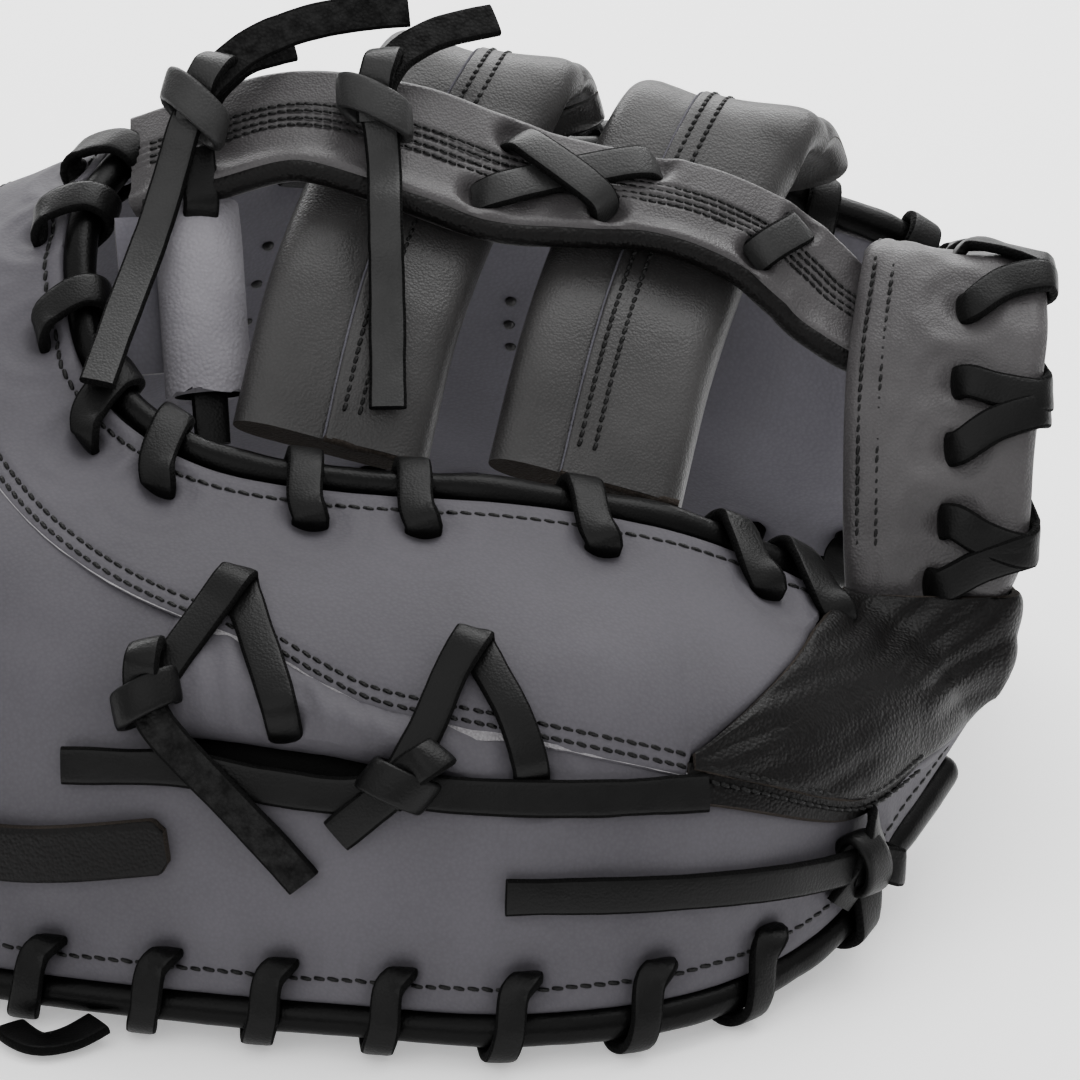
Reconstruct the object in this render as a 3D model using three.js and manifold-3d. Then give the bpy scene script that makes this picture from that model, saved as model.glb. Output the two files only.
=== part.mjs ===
// First baseman mitt for the left hand, lying palm down as on a table.
// +X points to the finger tips, +Y from the thumb side to the little-finger side, +Z up from the table.
// The mitt is a horseshoe of two leather skins, back and palm, around the web.
// Both skins are evaluated from one table of stations that runs round that horseshoe.
import * as THREE from "three";
import { mergeVertices } from "three/addons/utils/BufferGeometryUtils.js";
import Module from "manifold-3d";

// Overall size of the leather body, in millimetres
const LENGTH = 290; // heel to finger tips
const WIDTH = 236; // thumb edge to little-finger edge
const HEIGHT = 135; // table to the top of the web

// Leather, laces and rolled edges
const LEATHER = 2.4; // wall of the palm and back skins
const PATCH_LEATHER = 1.6; // folded patch over each tip
const LACE_WIDTH = 6.4;
const LACE_THICK = 1.7;
const WELT_RADIUS = 3.4; // rolled welt round the body
const BINDING_RADIUS = 2.2; // bound edge of the hand opening
const GAP = 0.4; // clearance kept between neighbouring pieces
const HOLE_INSET = 11; // lace hole to the middle of the welt
const SEAM_STEP = 1; // how far the upper panel stands over the ones beside it
const SLIT_START = 5.3; // station where the slit under the thumb seam opens
const SLIT_END = 6.85;
const SLIT_WIDTH = 4.6;
const SLIT_DEPTH = 6; // how far the opening is cut over and under the skin

// Web
const POST_THICK = 5.6;
const BAR_WIDTH = 36;
const BAR_THICK = 9.5;
const BAR_WALL = 1.9;
const BAR_LEAN = -0.25; // fall of the bars towards the tips, across their width
const TUBE_WIDTH = 14; // grey roll at the foot of the web
const TUBE_THICK = 11;
const TUBE_WALL = 1.8;
const FLAP_WIDTH = 7;
const FLAP_THICK = 2;
const RIM_THICK = 4.4;
const RIM_HOLE_INSET = 12;

// Wrist strap and its pull tab
const STRAP_WIDTH = 24;
const STRAP_THICK = 2.6;
const TAB_WIDTH = 10;

// Rows of a table as objects, one key for each column.
const named = (keys, rows) => rows.map((row) => Object.fromEntries(keys.map((key, i) => [key, row[i]])));

// Stations round the horseshoe, from the thumb tip over the heel to the finger tips.
// ix iy iz: middle of the welt along the web; ox oy oz: middle of the welt along the outer edge.
// back, palm: how far each skin swells; openBack, openPalm: half the mouth at the outer edge.
// upright: 1 where the mouth opens straight up. x is a share of LENGTH, y of WIDTH, the rest of HEIGHT.
const STATION_KEYS = ["ix", "iy", "iz", "ox", "oy", "oz", "back", "palm", "openBack", "openPalm", "upright"];
const STATIONS = named(STATION_KEYS, [
  [0.4724, 0.3432, 0.3741, 0.4603, 0.3263, 0.2, 0.0148, 0.0111, 0.02, 0.02, 0],
  [0.4103, 0.3305, 0.3815, 0.4414, 0.2966, 0.1511, 0.0519, 0.0185, 0.02, 0.02, 0],
  [0.3714, 0.322, 0.3896, 0.409, 0.2246, 0.1096, 0.0889, 0.0259, 0.02, 0.02, 0],
  [0.3241, 0.3093, 0.4519, 0.36, 0.1314, 0.0407, 0.1185, 0.0333, 0.02, 0.02, 0],
  [0.259, 0.297, 0.5156, 0.2831, 0.0381, 0.0296, 0.1407, 0.0407, 0.02, 0.02, 0],
  [0.1621, 0.2881, 0.5607, 0.1759, 0, 0.0304, 0.163, 0.0444, 0.02, 0.02, 0],
  [0.069, 0.2903, 0.5748, 0.0659, 0.0127, 0.0333, 0.1667, 0.0444, 0.02, 0.02, 0],
  [-0.01, 0.3, 0.5985, -0.0448, 0.0381, 0.0333, 0.1667, 0.0481, 0.02, 0.02, 0],
  [-0.0621, 0.3263, 0.6444, -0.1552, 0.078, 0.0296, 0.1593, 0.0556, 0.02, 0.02, 0],
  [-0.0921, 0.3686, 0.7037, -0.3, 0.1398, 0.0311, 0.1259, 0.0815, 0.0244, 0.02, 0.2],
  [-0.1021, 0.422, 0.7726, -0.4345, 0.2352, 0.0881, 0.0667, 0.1037, 0.0593, 0.0444, 0.7],
  [-0.1, 0.4746, 0.8259, -0.4966, 0.3898, 0.2348, 0.0333, 0.1111, 0.1556, 0.1481, 1],
  [-0.0879, 0.5127, 0.8541, -0.5, 0.5593, 0.2637, 0.0222, 0.1111, 0.1778, 0.1741, 1],
  [-0.0652, 0.5508, 0.8756, -0.4966, 0.7246, 0.2148, 0.0296, 0.1037, 0.1407, 0.1259, 1],
  [-0.0207, 0.5975, 0.8667, -0.4276, 0.8602, 0.0741, 0.0593, 0.0889, 0.0481, 0.0333, 0.7],
  [0.0414, 0.6441, 0.8259, -0.2897, 0.9301, 0.0304, 0.1037, 0.0667, 0.0244, 0.02, 0.2],
  [0.1241, 0.678, 0.7926, -0.14, 0.9746, 0.0304, 0.1407, 0.0519, 0.02, 0.02, 0],
  [0.2069, 0.6907, 0.7704, 0.0207, 0.9831, 0.0304, 0.163, 0.0519, 0.02, 0.02, 0],
  [0.2931, 0.6992, 0.7704, 0.1931, 0.9322, 0.0304, 0.163, 0.0593, 0.02, 0.02, 0],
  [0.3621, 0.7034, 0.6889, 0.3379, 0.8347, 0.0333, 0.1481, 0.0593, 0.02, 0.02, 0],
  [0.4207, 0.7034, 0.637, 0.4276, 0.7754, 0.0741, 0.1111, 0.0407, 0.02, 0.02, 0],
  [0.4621, 0.6992, 0.563, 0.4759, 0.75, 0.2, 0.0667, 0.0222, 0.02, 0.02, 0],
  [0.481, 0.6949, 0.4593, 0.4879, 0.7203, 0.3481, 0.0148, 0.0111, 0.02, 0.02, 0],
]);
const LAST = STATIONS.length - 1;

// Seam between the upper panel and the lower ones.
// b is the station and r the share of the way to the outer edge.
const SEAM = named(["b", "r"], [
  [0, 0.8],
  [1.5, 0.78],
  [2.9, 0.71],
  [4.2, 0.59],
  [5.5, 0.5],
  [5.9, 0.475],
  [6.6, 0.36],
  [7.4, 0.313],
  [8.8, 0.235],
  [10.5, 0.2],
  [13.4, 0.22],
]);
// Slanting edge of the thumb-tip patch, and the slit that runs below the seam.
const PATCH_EDGE = named(["b", "r"], [
  [2.05, 0],
  [2.7, 0.17],
  [3.43, 0.339],
  [3.89, 0.471],
  [4.18, 0.59],
]);
const SLIT = named(["b", "r"], [
  [2.88, 0.73],
  [4.13, 0.633],
  [5.5, 0.621],
  [5.96, 0.611],
  [6.42, 0.594],
  [6.88, 0.564],
]);

// Middle line of the web post, from the crotch to the rim; width in millimetres, x y z in shares as above.
const POST = named(["x", "y", "z", "width"], [
  [-0.069, 0.5169, 0.8652, 22.5],
  [-0.0241, 0.5042, 0.9074, 23],
  [0.0345, 0.5, 0.9422, 23.6],
  [0.0979, 0.4958, 0.917, 26.5],
  [0.161, 0.4915, 0.8696, 26.5],
  [0.2, 0.4915, 0.8519, 23.5],
  [0.2493, 0.4915, 0.837, 20],
  [0.2872, 0.4873, 0.8207, 20],
  [0.3255, 0.4831, 0.7837, 20.5],
  [0.3517, 0.4788, 0.7393, 20.5],
  [0.3707, 0.4746, 0.7007, 20.5],
  [0.3897, 0.4725, 0.6726, 20.5],
  [0.4086, 0.4703, 0.6563, 20.5],
]);
// Middle lines of the two bars, of the grey roll and of the stitched flap beside it, in the same shares.
const LOWER_BAR = named(["x", "y", "z"], [
  [0.0552, 0.3347, 0.5926],
  [0.0759, 0.411, 0.7407],
  [0.1052, 0.5161, 0.842],
  [0.1414, 0.6017, 0.9296],
  [0.1586, 0.6398, 0.8889],
  [0.169, 0.642, 0.8185],
]);
const UPPER_BAR = named(["x", "y", "z"], [
  [0.2138, 0.3347, 0.5333],
  [0.2345, 0.411, 0.6667],
  [0.2621, 0.5119, 0.765],
  [0.2966, 0.6017, 0.8556],
  [0.3172, 0.6441, 0.8148],
  [0.3276, 0.6568, 0.7481],
]);
const WEB_ROLL = named(["x", "y", "z"], [
  [-0.0321, 0.4788, 0.8519],
  [-0.029, 0.4576, 0.8074],
  [-0.0255, 0.4237, 0.7259],
  [-0.021, 0.3856, 0.6296],
]);
const WEB_FLAP = named(["x", "y", "z"], [
  [-0.071, 0.4746, 0.837],
  [-0.069, 0.4576, 0.8],
  [-0.0652, 0.4364, 0.7333],
  [-0.061, 0.4068, 0.6444],
]);
// Top bar of the web, from the thumb tip up and over to the finger tips.
// a is its stitched edge and b its laced edge.
const RIM = named(["ax", "ay", "az", "bx", "by", "bz"], [
  [0.4, 0.3297, 0.3556, 0.4759, 0.3415, 0.3519],
  [0.3931, 0.3445, 0.4407, 0.4914, 0.3445, 0.4333],
  [0.381, 0.3729, 0.5333, 0.4972, 0.3814, 0.5526],
  [0.3783, 0.4025, 0.6148, 0.5021, 0.411, 0.6222],
  [0.3817, 0.4322, 0.6741, 0.5069, 0.4407, 0.6852],
  [0.3914, 0.4915, 0.7519, 0.5069, 0.4915, 0.7259],
  [0.4, 0.5636, 0.7067, 0.5034, 0.5551, 0.6837],
  [0.4086, 0.6229, 0.6607, 0.4983, 0.6186, 0.6296],
  [0.4172, 0.6695, 0.6252, 0.4914, 0.6695, 0.5741],
]);

// Free ends of the knotted laces above the web, and the one that lies on the table, in the same shares.
const CROTCH_TIE = named(["x", "y", "z"], [
  [-0.0321, 0.4826, 0.9704],
]);
const CROTCH_TAIL_DOWN = named(["x", "y", "z"], [
  [-0.0362, 0.4703, 0.9624],
  [-0.0468, 0.4492, 0.8904],
  [-0.0577, 0.4237, 0.8288],
  [-0.0733, 0.3644, 0.7635],
  [-0.0867, 0.3072, 0.7083],
]);
const CROTCH_TAIL_UP = named(["x", "y", "z"], [
  [-0.0241, 0.4915, 1.0014],
  [0.0039, 0.5127, 1.0463],
  [0.0475, 0.5339, 1.0712],
  [0.1028, 0.5508, 1.076],
]);
const CROTCH_TAIL_BACK = named(["x", "y", "z"], [
  [-0.0202, 0.5042, 0.9928],
  [0.0001, 0.5254, 1.0219],
  [0.0292, 0.5466, 1.0281],
]);
const POST_TIE = named(["x", "y", "z"], [
  [0.0824, 0.4805, 0.977],
]);
const POST_TAIL_DOWN = named(["x", "y", "z"], [
  [0.086, 0.4703, 0.9624],
  [0.0885, 0.4534, 0.9164],
  [0.0896, 0.4174, 0.8695],
  [0.0909, 0.3835, 0.7711],
  [0.0921, 0.322, 0.6607],
]);
const POST_TAIL_UP = named(["x", "y", "z"], [
  [0.0856, 0.5, 1],
  [0.0979, 0.5254, 1.0263],
  [0.1229, 0.5466, 1.0441],
  [0.1576, 0.5678, 1.049],
]);
const HEEL_TAIL = named(["x", "y", "z"], [
  [-0.1362, 0.0339, 0.0007],
  [-0.1259, 0.0169, 0.0007],
  [-0.1138, 0.0085, 0.0007],
  [-0.0966, 0.0169, 0.0022],
  [-0.081, 0.0305, 0.0104],
]);

// Stations of the lace holes along each welt
const THUMB_EDGE_HOLES = [3.6, 4.28, 4.98, 5.64, 6.3, 6.94, 7.62, 8.1, 8.55];
const THUMB_WEB_HOLES = [2.55, 3.28, 4.45, 5.5, 6.26, 7.5, 8.35];
const CROTCH_HOLES = [9.6, 11, 12.4];
const EDGE_PITCH = 21; // lace pitch along the finger side
const EDGE_TIE_HOLE = 2.66;
const RIM_HOLES = [0.55, 1.3, 2.1, 3.1, 4.3, 5.3, 6.3, 7.2]; // rows of RIM
const RIM_LEAN = [0.45, -0.3]; // rows of RIM that every other lace strip climbs or falls to the edge

const v3 = (x, y, z) => new THREE.Vector3(x, y, z);
const UP = v3(0, 0, 1);
const sized = (x, y, z) => v3(x * LENGTH, y * WIDTH, z * HEIGHT);
const spread = (from, to, count) => {
  const step = (to - from) / count;
  return Array.from({ length: count + 1 }, (_, i) => from + step * i);
};
const clamp = THREE.MathUtils.clamp;

// Value of one column at a fractional row, by a Catmull-Rom spline.
function column(rows, key, at) {
  const last = rows.length - 1;
  const t = clamp(at, 0, last);
  const i = Math.min(Math.floor(t), last - 1);
  const f = t - i;
  const [p0, p1, p2, p3] = [i - 1, i, i + 1, i + 2].map((k) => rows[clamp(k, 0, last)][key]);
  const a = (p2 - p0) / 2;
  const b = (p3 - p1) / 2;
  const held = (2 * f ** 3 - 3 * f ** 2 + 1) * p1 + (3 * f ** 2 - 2 * f ** 3) * p2;
  return held + (f ** 3 - 2 * f ** 2 + f) * a + (f ** 3 - f ** 2) * b;
}

// r on a border line of rows { b, r }, held level beyond its ends.
function border(rows, b) {
  const i = rows.findIndex((row) => row.b >= b);
  if (i < 0) return rows[rows.length - 1].r;
  if (i === 0) return rows[0].r;
  return rows[i - 1].r + ((rows[i].r - rows[i - 1].r) * (b - rows[i - 1].b)) / (rows[i].b - rows[i - 1].b);
}

const pointAt = (rows, keys, at) => sized(...keys.map((key) => column(rows, key, at)));
const rowPoint = (rows, at) => pointAt(rows, ["x", "y", "z"], at);
const innerEdge = (b) => pointAt(STATIONS, ["ix", "iy", "iz"], b);
const outerEdge = (b) => pointAt(STATIONS, ["ox", "oy", "oz"], b);
const span = (b) => innerEdge(b).distanceTo(outerEdge(b));
const chord = (b, r) => innerEdge(b).lerp(outerEdge(b), r);

// Unit direction in which the mitt is thick at (b, r), pointing out of the back.
function outward(b, r) {
  const step = 0.05;
  const along = chord(b + step, r).sub(chord(b - step, r));
  const normal = along.cross(outerEdge(b).sub(innerEdge(b))).normalize();
  const upright = column(STATIONS, "upright", b) * r;
  return normal.multiplyScalar(1 - upright).addScaledVector(UP, upright).normalize();
}

const SWELL_POWER = 1.25; // above 1, so that the skins lie flat against each other at the welts
const MOUTH_POWER = 1.6;
const WELT_STANCE = 0.02; // half thickness of the two skins at the web welt, as a share of HEIGHT
function skinHeight(b, r, swell, open) {
  const swollen = Math.sin(Math.PI * clamp(r, 0, 1)) ** SWELL_POWER;
  const edges = WELT_STANCE * (1 - r) + column(STATIONS, open, b) * clamp(r, 0, 1) ** MOUTH_POWER;
  return HEIGHT * (edges + column(STATIONS, swell, b) * swollen);
}

// Low ridges over the fingers, only on the finger side of the back.
const FINGERS = 3; // ridges that the four fingers make together
const RIDGE = 2.6;
function ridge(b, r) {
  const side = THREE.MathUtils.smoothstep(b, 14, 16) * (1 - THREE.MathUtils.smoothstep(b, 19.5, 21));
  const band = Math.abs(Math.sin(Math.PI * FINGERS * clamp((r - 0.08) / 0.84, 0, 1)));
  return RIDGE * side * band;
}
const backSkin = (b, r, lift = 0) =>
  chord(b, r).addScaledVector(outward(b, r), skinHeight(b, r, "back", "openBack") + ridge(b, r) + lift);
const palmSkin = (b, r, lift = 0) =>
  chord(b, r).addScaledVector(outward(b, r), -skinHeight(b, r, "palm", "openPalm") - lift);

// Unit normal of a surface function, on the side that `lift` moves to.
function normalOf(surface, b, r) {
  const e = 0.02;
  const du = surface(b + e, r).sub(surface(b - e, r));
  const dv = surface(b, r + e).sub(surface(b, r - e));
  const n = du.cross(dv).normalize();
  return n.dot(surface(b, r, 1).sub(surface(b, r, 0))) < 0 ? n.negate() : n;
}

const wasm = await Module();
wasm.setup();

// A closed solid from points and triangles, turned the right way out.
function solid(points, faces) {
  const raw = new THREE.BufferGeometry().setFromPoints(points);
  raw.setIndex(faces);
  const merged = mergeVertices(raw, 1e-4);
  const vertProperties = merged.attributes.position.array;
  const make = (triVerts) => new wasm.Manifold(new wasm.Mesh({ numProp: 3, vertProperties, triVerts }));
  const tri = new Uint32Array(merged.index.array);
  const made = make(tri);
  if (made.volume() >= 0) return made;
  for (let i = 0; i < tri.length; i += 3) {
    [tri[i + 1], tri[i + 2]] = [tri[i + 2], tri[i + 1]];
  }
  return make(tri);
}

// Body between an outer and an inner point grid, closed round its four edges, or round two when looped.
function wall(sections, looped = false) {
  const m = sections[0].outer.length;
  const points = sections.flatMap((s) => [...s.outer, ...s.inner]);
  const faces = [];
  const quad = (a, b, c, d) => faces.push(a, b, c, a, c, d);
  const at = (i, j, inner) => i * 2 * m + (inner ? m : 0) + (j % m);
  const columns = looped ? m : m - 1;
  const e = sections.length - 1;
  for (let i = 0; i < e; i++) {
    for (let j = 0; j < columns; j++) {
      quad(at(i, j), at(i + 1, j), at(i + 1, j + 1), at(i, j + 1));
      quad(at(i, j, 1), at(i, j + 1, 1), at(i + 1, j + 1, 1), at(i + 1, j, 1));
    }
    if (looped) continue;
    quad(at(i, 0), at(i, 0, 1), at(i + 1, 0, 1), at(i + 1, 0));
    quad(at(i, m - 1), at(i + 1, m - 1), at(i + 1, m - 1, 1), at(i, m - 1, 1));
  }
  for (let j = 0; j < columns; j++) {
    quad(at(0, j), at(0, j + 1), at(0, j + 1, 1), at(0, j, 1));
    quad(at(e, j), at(e, j, 1), at(e, j + 1, 1), at(e, j + 1));
  }
  return solid(points, faces);
}

// Body through rings of points, closed by a fan at each end.
function rod(rings) {
  const m = rings[0].length;
  const middle = (ring) => ring.reduce((s, p) => s.add(p), v3(0, 0, 0)).divideScalar(m);
  const points = [...rings.flat(), middle(rings[0]), middle(rings[rings.length - 1])];
  const faces = [];
  for (let i = 0; i + 1 < rings.length; i++)
    for (let j = 0; j < m; j++) {
      const [a, b] = [i * m + j, i * m + ((j + 1) % m)];
      faces.push(a, a + m, b + m, a, b + m, b);
    }
  const top = (rings.length - 1) * m;
  for (let j = 0; j < m; j++) {
    const k = (j + 1) % m;
    faces.push(rings.length * m, j, k, rings.length * m + 1, top + k, top + j);
  }
  return solid(points, faces);
}

// Sheet of leather on a surface function, between two borders that depend on the station.
function sheet(surface, b0, b1, rows, r0, r1, columns, thick, lift = 0) {
  return wall(
    spread(b0, b1, rows).map((b) => {
      const rs = spread(r0(b), r1(b), columns);
      const face = (height) => rs.map((r) => surface(b, r, height));
      return { outer: face(lift), inner: face(lift - thick) };
    }),
  );
}

// Frames { p, side, n } along a path whose broad face looks towards `face`.
function frames(path, face) {
  return path.map((p, i) => {
    const along = path[Math.min(i + 1, path.length - 1)].clone().sub(path[Math.max(i - 1, 0)]).normalize();
    const f = face(i);
    const n = f.clone().addScaledVector(along, -f.dot(along)).normalize();
    return { p, n, side: along.clone().cross(n) };
  });
}

// Ring of `sides` points with flattened faces about a frame.
const flatRing = ({ p, side, n }, width, thick, sides, bluntness = 0.55) =>
  spread(0, 2 * Math.PI, sides)
    .slice(0, sides)
    .map((a) => {
      const [c, s] = [Math.cos(a), Math.sin(a)];
      const across = (Math.sign(c) * Math.abs(c) ** bluntness * width) / 2;
      const through = (Math.sign(s) * Math.abs(s) ** bluntness * thick) / 2;
      return p.clone().addScaledVector(side, across).addScaledVector(n, through);
    });
const welt = (path, radius, sides) =>
  rod(frames(path, () => UP).map((frame) => flatRing(frame, 2 * radius, 2 * radius, sides, 1)));

// Lace with square edges through anchors { p, n }, n pointing out of its broad face.
function lace(anchors, width = LACE_WIDTH, thick = LACE_THICK) {
  const line = frames(anchors.map((a) => a.p), (i) => anchors[i].n);
  return wall(
    line.map(({ p, side, n }) => {
      const [across, through] = [width / 2, thick / 2];
      const corner = (s, t) => p.clone().addScaledVector(side, s * across).addScaledVector(n, t * through);
      return { outer: [corner(-1, 1), corner(1, 1)], inner: [corner(-1, -1), corner(1, -1)] };
    }),
  );
}
// A lace and the slightly larger room that it takes in anything it presses into.
const pair = (anchors) => ({
  body: lace(anchors),
  room: lace(anchors, LACE_WIDTH + 2 * GAP, LACE_THICK + 2 * GAP),
});
const RIDE = LACE_THICK / 2 + GAP; // height of a lace's middle over the surface that it lies on

// Lace whipped round an edge: out of a hole in front, over the edge and into a hole behind.
// edge gives front(q, mm), behind(q, mm), middle(q), and two directions.
// They point away from the body and out of its front.
function whip(holes, edge, lean, inset = HOLE_INSET, depth = LEATHER + 2.4) {
  const anchors = [];
  const punches = [];
  holes.forEach((q, i) => {
    const speed = edge.middle(q + 0.05).distanceTo(edge.middle(q - 0.05)) / 0.1;
    const at = (share) => q + (lean * share) / speed;
    const pass = (surface, share, sign) => {
      const out = edge.up(at(share)).multiplyScalar(sign);
      const inward = edge.away(at(share)).negate();
      const half = (share + 0.5) / 2;
      const outside = { p: surface(at(half), inset * 0.62, RIDE + 0.95), n: out };
      const mouth = { p: surface(at(share), inset - 0.8, 0.95), n: out.clone().add(inward).normalize() };
      const inside = { p: surface(at(share), inset + 0.4, -depth), n: inward };
      punches.push(punch(surface(at(share), inset, 0), out, inward));
      return [outside, mouth, inside];
    };
    const onEdge = (degrees, share) => {
      const angle = THREE.MathUtils.degToRad(degrees);
      const up = edge.up(at(share)).multiplyScalar(Math.sin(angle));
      const n = up.addScaledVector(edge.away(at(share)), Math.cos(angle));
      return { p: edge.middle(at(share)).addScaledVector(n, edge.radius + RIDE + 0.25), n };
    };
    anchors.push(...pass(edge.front, 0, 1).reverse());
    anchors.push(onEdge(64, 0.35), onEdge(22, 0.45), onEdge(-22, 0.55), onEdge(-64, 0.65));
    anchors.push(...pass(edge.behind, 1, -1));
    if (i === holes.length - 1) return;
    const midway = (at(1) + holes[i + 1]) / 2;
    const [over, under] = [edge.front(midway, inset + 4, 0), edge.behind(midway, inset + 4, 0)];
    const between = over.lerp(under, 0.5);
    anchors.push({ p: between, n: edge.up(midway) });
  });
  return { ...pair(anchors), punches };
}
// Lace wound round an edge of a single band, through one hole for each turn.
function spiral(holes, edge, inset) {
  const anchors = [];
  const punches = [];
  const last = holes.length - 1;
  holes.forEach((q, i) => {
    const next = i < last ? holes[i + 1] : q + 0.6;
    const lean = RIM_LEAN[i % RIM_LEAN.length];
    const up = edge.up(q);
    const back = up.clone().negate();
    const inward = edge.away(q).negate();
    const round = (degrees, share) => {
      const angle = THREE.MathUtils.degToRad(degrees);
      const at = q + lean + (next - q - lean) * share;
      const n = edge.up(at).multiplyScalar(Math.sin(angle)).addScaledVector(edge.away(at), Math.cos(angle));
      return { p: edge.middle(at).addScaledVector(n, edge.radius + RIDE + 0.4), n };
    };
    const tilted = (n) => n.clone().addScaledVector(inward, 0.4).normalize();
    anchors.push({ p: edge.behind(q, inset - 2, RIDE + 0.3), n: tilted(back) });
    anchors.push({ p: edge.behind(q, inset, -RIM_THICK / 2), n: inward });
    anchors.push({ p: edge.front(q, inset - 2, RIDE + 0.3), n: tilted(up) });
    anchors.push({ p: edge.front(q + lean * 0.6, inset * 0.5, RIDE + 0.3), n: up });
    anchors.push(round(55, 0), round(0, 0.08), round(-55, 0.2));
    const on = q + (next - q) * 0.65;
    anchors.push({ p: edge.behind(on, inset * 0.55, RIDE + 0.5), n: edge.up(on).negate() });
    punches.push(punch(edge.front(q, inset, -RIM_THICK / 2), up, inward));
  });
  return { ...pair(anchors), punches };
}
// Slab that opens a lace hole through a skin.
const HOLE_LENGTH = LACE_WIDTH + 1.6;
const HOLE_BREADTH = LACE_THICK + 2.8;
const HOLE_DEPTH = 9;
function punch(p, out, inward, depth = HOLE_DEPTH) {
  const side = out.clone().cross(inward).normalize().multiplyScalar(HOLE_LENGTH / 2);
  const breadth = inward.clone().multiplyScalar(HOLE_BREADTH / 2);
  const end = (d) =>
    [[1, 1], [-1, 1], [-1, -1], [1, -1]].map(([a, b]) =>
      p.clone().addScaledVector(out, d).addScaledVector(side, a).addScaledVector(breadth, b),
    );
  return rod([end(-depth / 2), end(depth / 2)]);
}
function weltEdge(outer, step = 0) {
  const middle = outer ? outerEdge : innerEdge;
  const r = (b, mm) => (outer ? 1 - mm / span(b) : mm / span(b));
  const at = outer ? 1 : 0;
  const tangent = (b) => middle(b + 0.05).sub(middle(b - 0.05)).normalize();
  const up = (b) => {
    const [n, t] = [outward(b, at), tangent(b)];
    return n.addScaledVector(t, -n.dot(t)).normalize();
  };
  return {
    radius: WELT_RADIUS,
    up,
    middle,
    away: (b) => {
      const a = chord(b, at).sub(chord(b, outer ? 0.9 : 0.1));
      const away = tangent(b).cross(up(b)).normalize();
      return away.dot(a) < 0 ? away.negate() : away;
    },
    front: (b, mm, lift) => backSkin(b, r(b, mm), lift + step),
    behind: (b, mm, lift) => palmSkin(b, r(b, mm), lift),
  };
}
// Stations about one pitch apart along an edge.
function evenly(edge, from, to, pitch) {
  const fine = spread(from, to, 200);
  const lengths = [0];
  for (let i = 1; i < fine.length; i++) {
    lengths.push(lengths[i - 1] + edge(fine[i]).distanceTo(edge(fine[i - 1])));
  }
  const count = Math.round(lengths[200] / pitch);
  return spread(0, lengths[200], count).map((want) => fine[lengths.findIndex((l) => l >= want - 1e-6)]);
}

const nearTip = (b) => 1 - THREE.MathUtils.smoothstep(Math.min(b, LAST - b), 1, 3);
const fromWeb = (b) => (WELT_RADIUS + 2 * GAP + 0.8 * nearTip(b)) / span(b);
const fromEdge = (b) => 1 - (WELT_RADIUS + 2 * GAP + 2.2 * nearTip(b)) / span(b);
const seam = (b) => border(SEAM, b);
const patchEdge = (b) => (b < PATCH_EDGE[0].b ? 0 : border(PATCH_EDGE, b));
const PATCH_END = PATCH_EDGE[PATCH_EDGE.length - 1].b;
// The back stops short of the heel to leave the hand opening.
const WRIST_CUT = 0.42;
const wristEdge = (b) => {
  const cut = THREE.MathUtils.smoothstep(b, 8.8, 10.6) * (1 - THREE.MathUtils.smoothstep(b, 13.4, 15.2));
  return Math.min(fromEdge(b), 1 - WRIST_CUT * cut);
};

// Patch folded round a tip.
// s runs from the back skin (1 and more), round the end (1 to 0), to under the palm skin (below 0).
function tipSurface(end, inwardStep) {
  const tangent = (r) => chord(end, r).sub(chord(end + inwardStep, r)).normalize();
  return (s, r, lift) => {
    if (s >= 1) return backSkin(end + inwardStep * (s - 1), r, lift);
    if (s <= 0) return palmSkin(end - inwardStep * s, r, lift);
    const angle = Math.PI * s;
    const n = outward(end, r);
    const t = tangent(r).addScaledVector(n, -tangent(r).dot(n)).normalize();
    const back = skinHeight(end, r, "back", "openBack") + lift;
    const palm = skinHeight(end, r, "palm", "openPalm") + lift;
    const height = palm + (back - palm) * s;
    return chord(end, r)
      .addScaledVector(n, -Math.cos(angle) * height)
      .addScaledVector(t, Math.sin(angle) * height);
  };
}
const PATCH_LIFT = GAP + PATCH_LEATHER;
function tipPatch(end, inwardStep, backRows, under, r0, r1, lift = PATCH_LIFT) {
  const surface = tipSurface(end, inwardStep);
  const steps = [...spread(-under, 0, 2), 0.25, 0.5, 0.75, ...backRows.map((b) => 1 + Math.abs(b - end))];
  return wall(
    steps.map((s) => {
      const b = end + inwardStep * Math.max(s - 1, 0);
      const rs = spread(r0(b), r1(b), 6);
      return {
        outer: rs.map((r) => surface(s, r, lift)),
        inner: rs.map((r) => surface(s, r, lift - PATCH_LEATHER)),
      };
    }),
  );
}

// Band with rounded edges through rows of frames, as wide as width(i).
const band = (line, width, thick, sides) =>
  rod(line.map((frame, i) => flatRing(frame, width(i), thick, sides)));
const POST_FACE = v3(0, -0.55, 0.83).normalize();
function postFrame(at) {
  const along = rowPoint(POST, at + 0.05).sub(rowPoint(POST, at - 0.05)).normalize();
  const n = POST_FACE.clone().addScaledVector(along, -POST_FACE.dot(along)).normalize();
  return { p: rowPoint(POST, at), n, side: n.clone().cross(along) };
}
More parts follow.
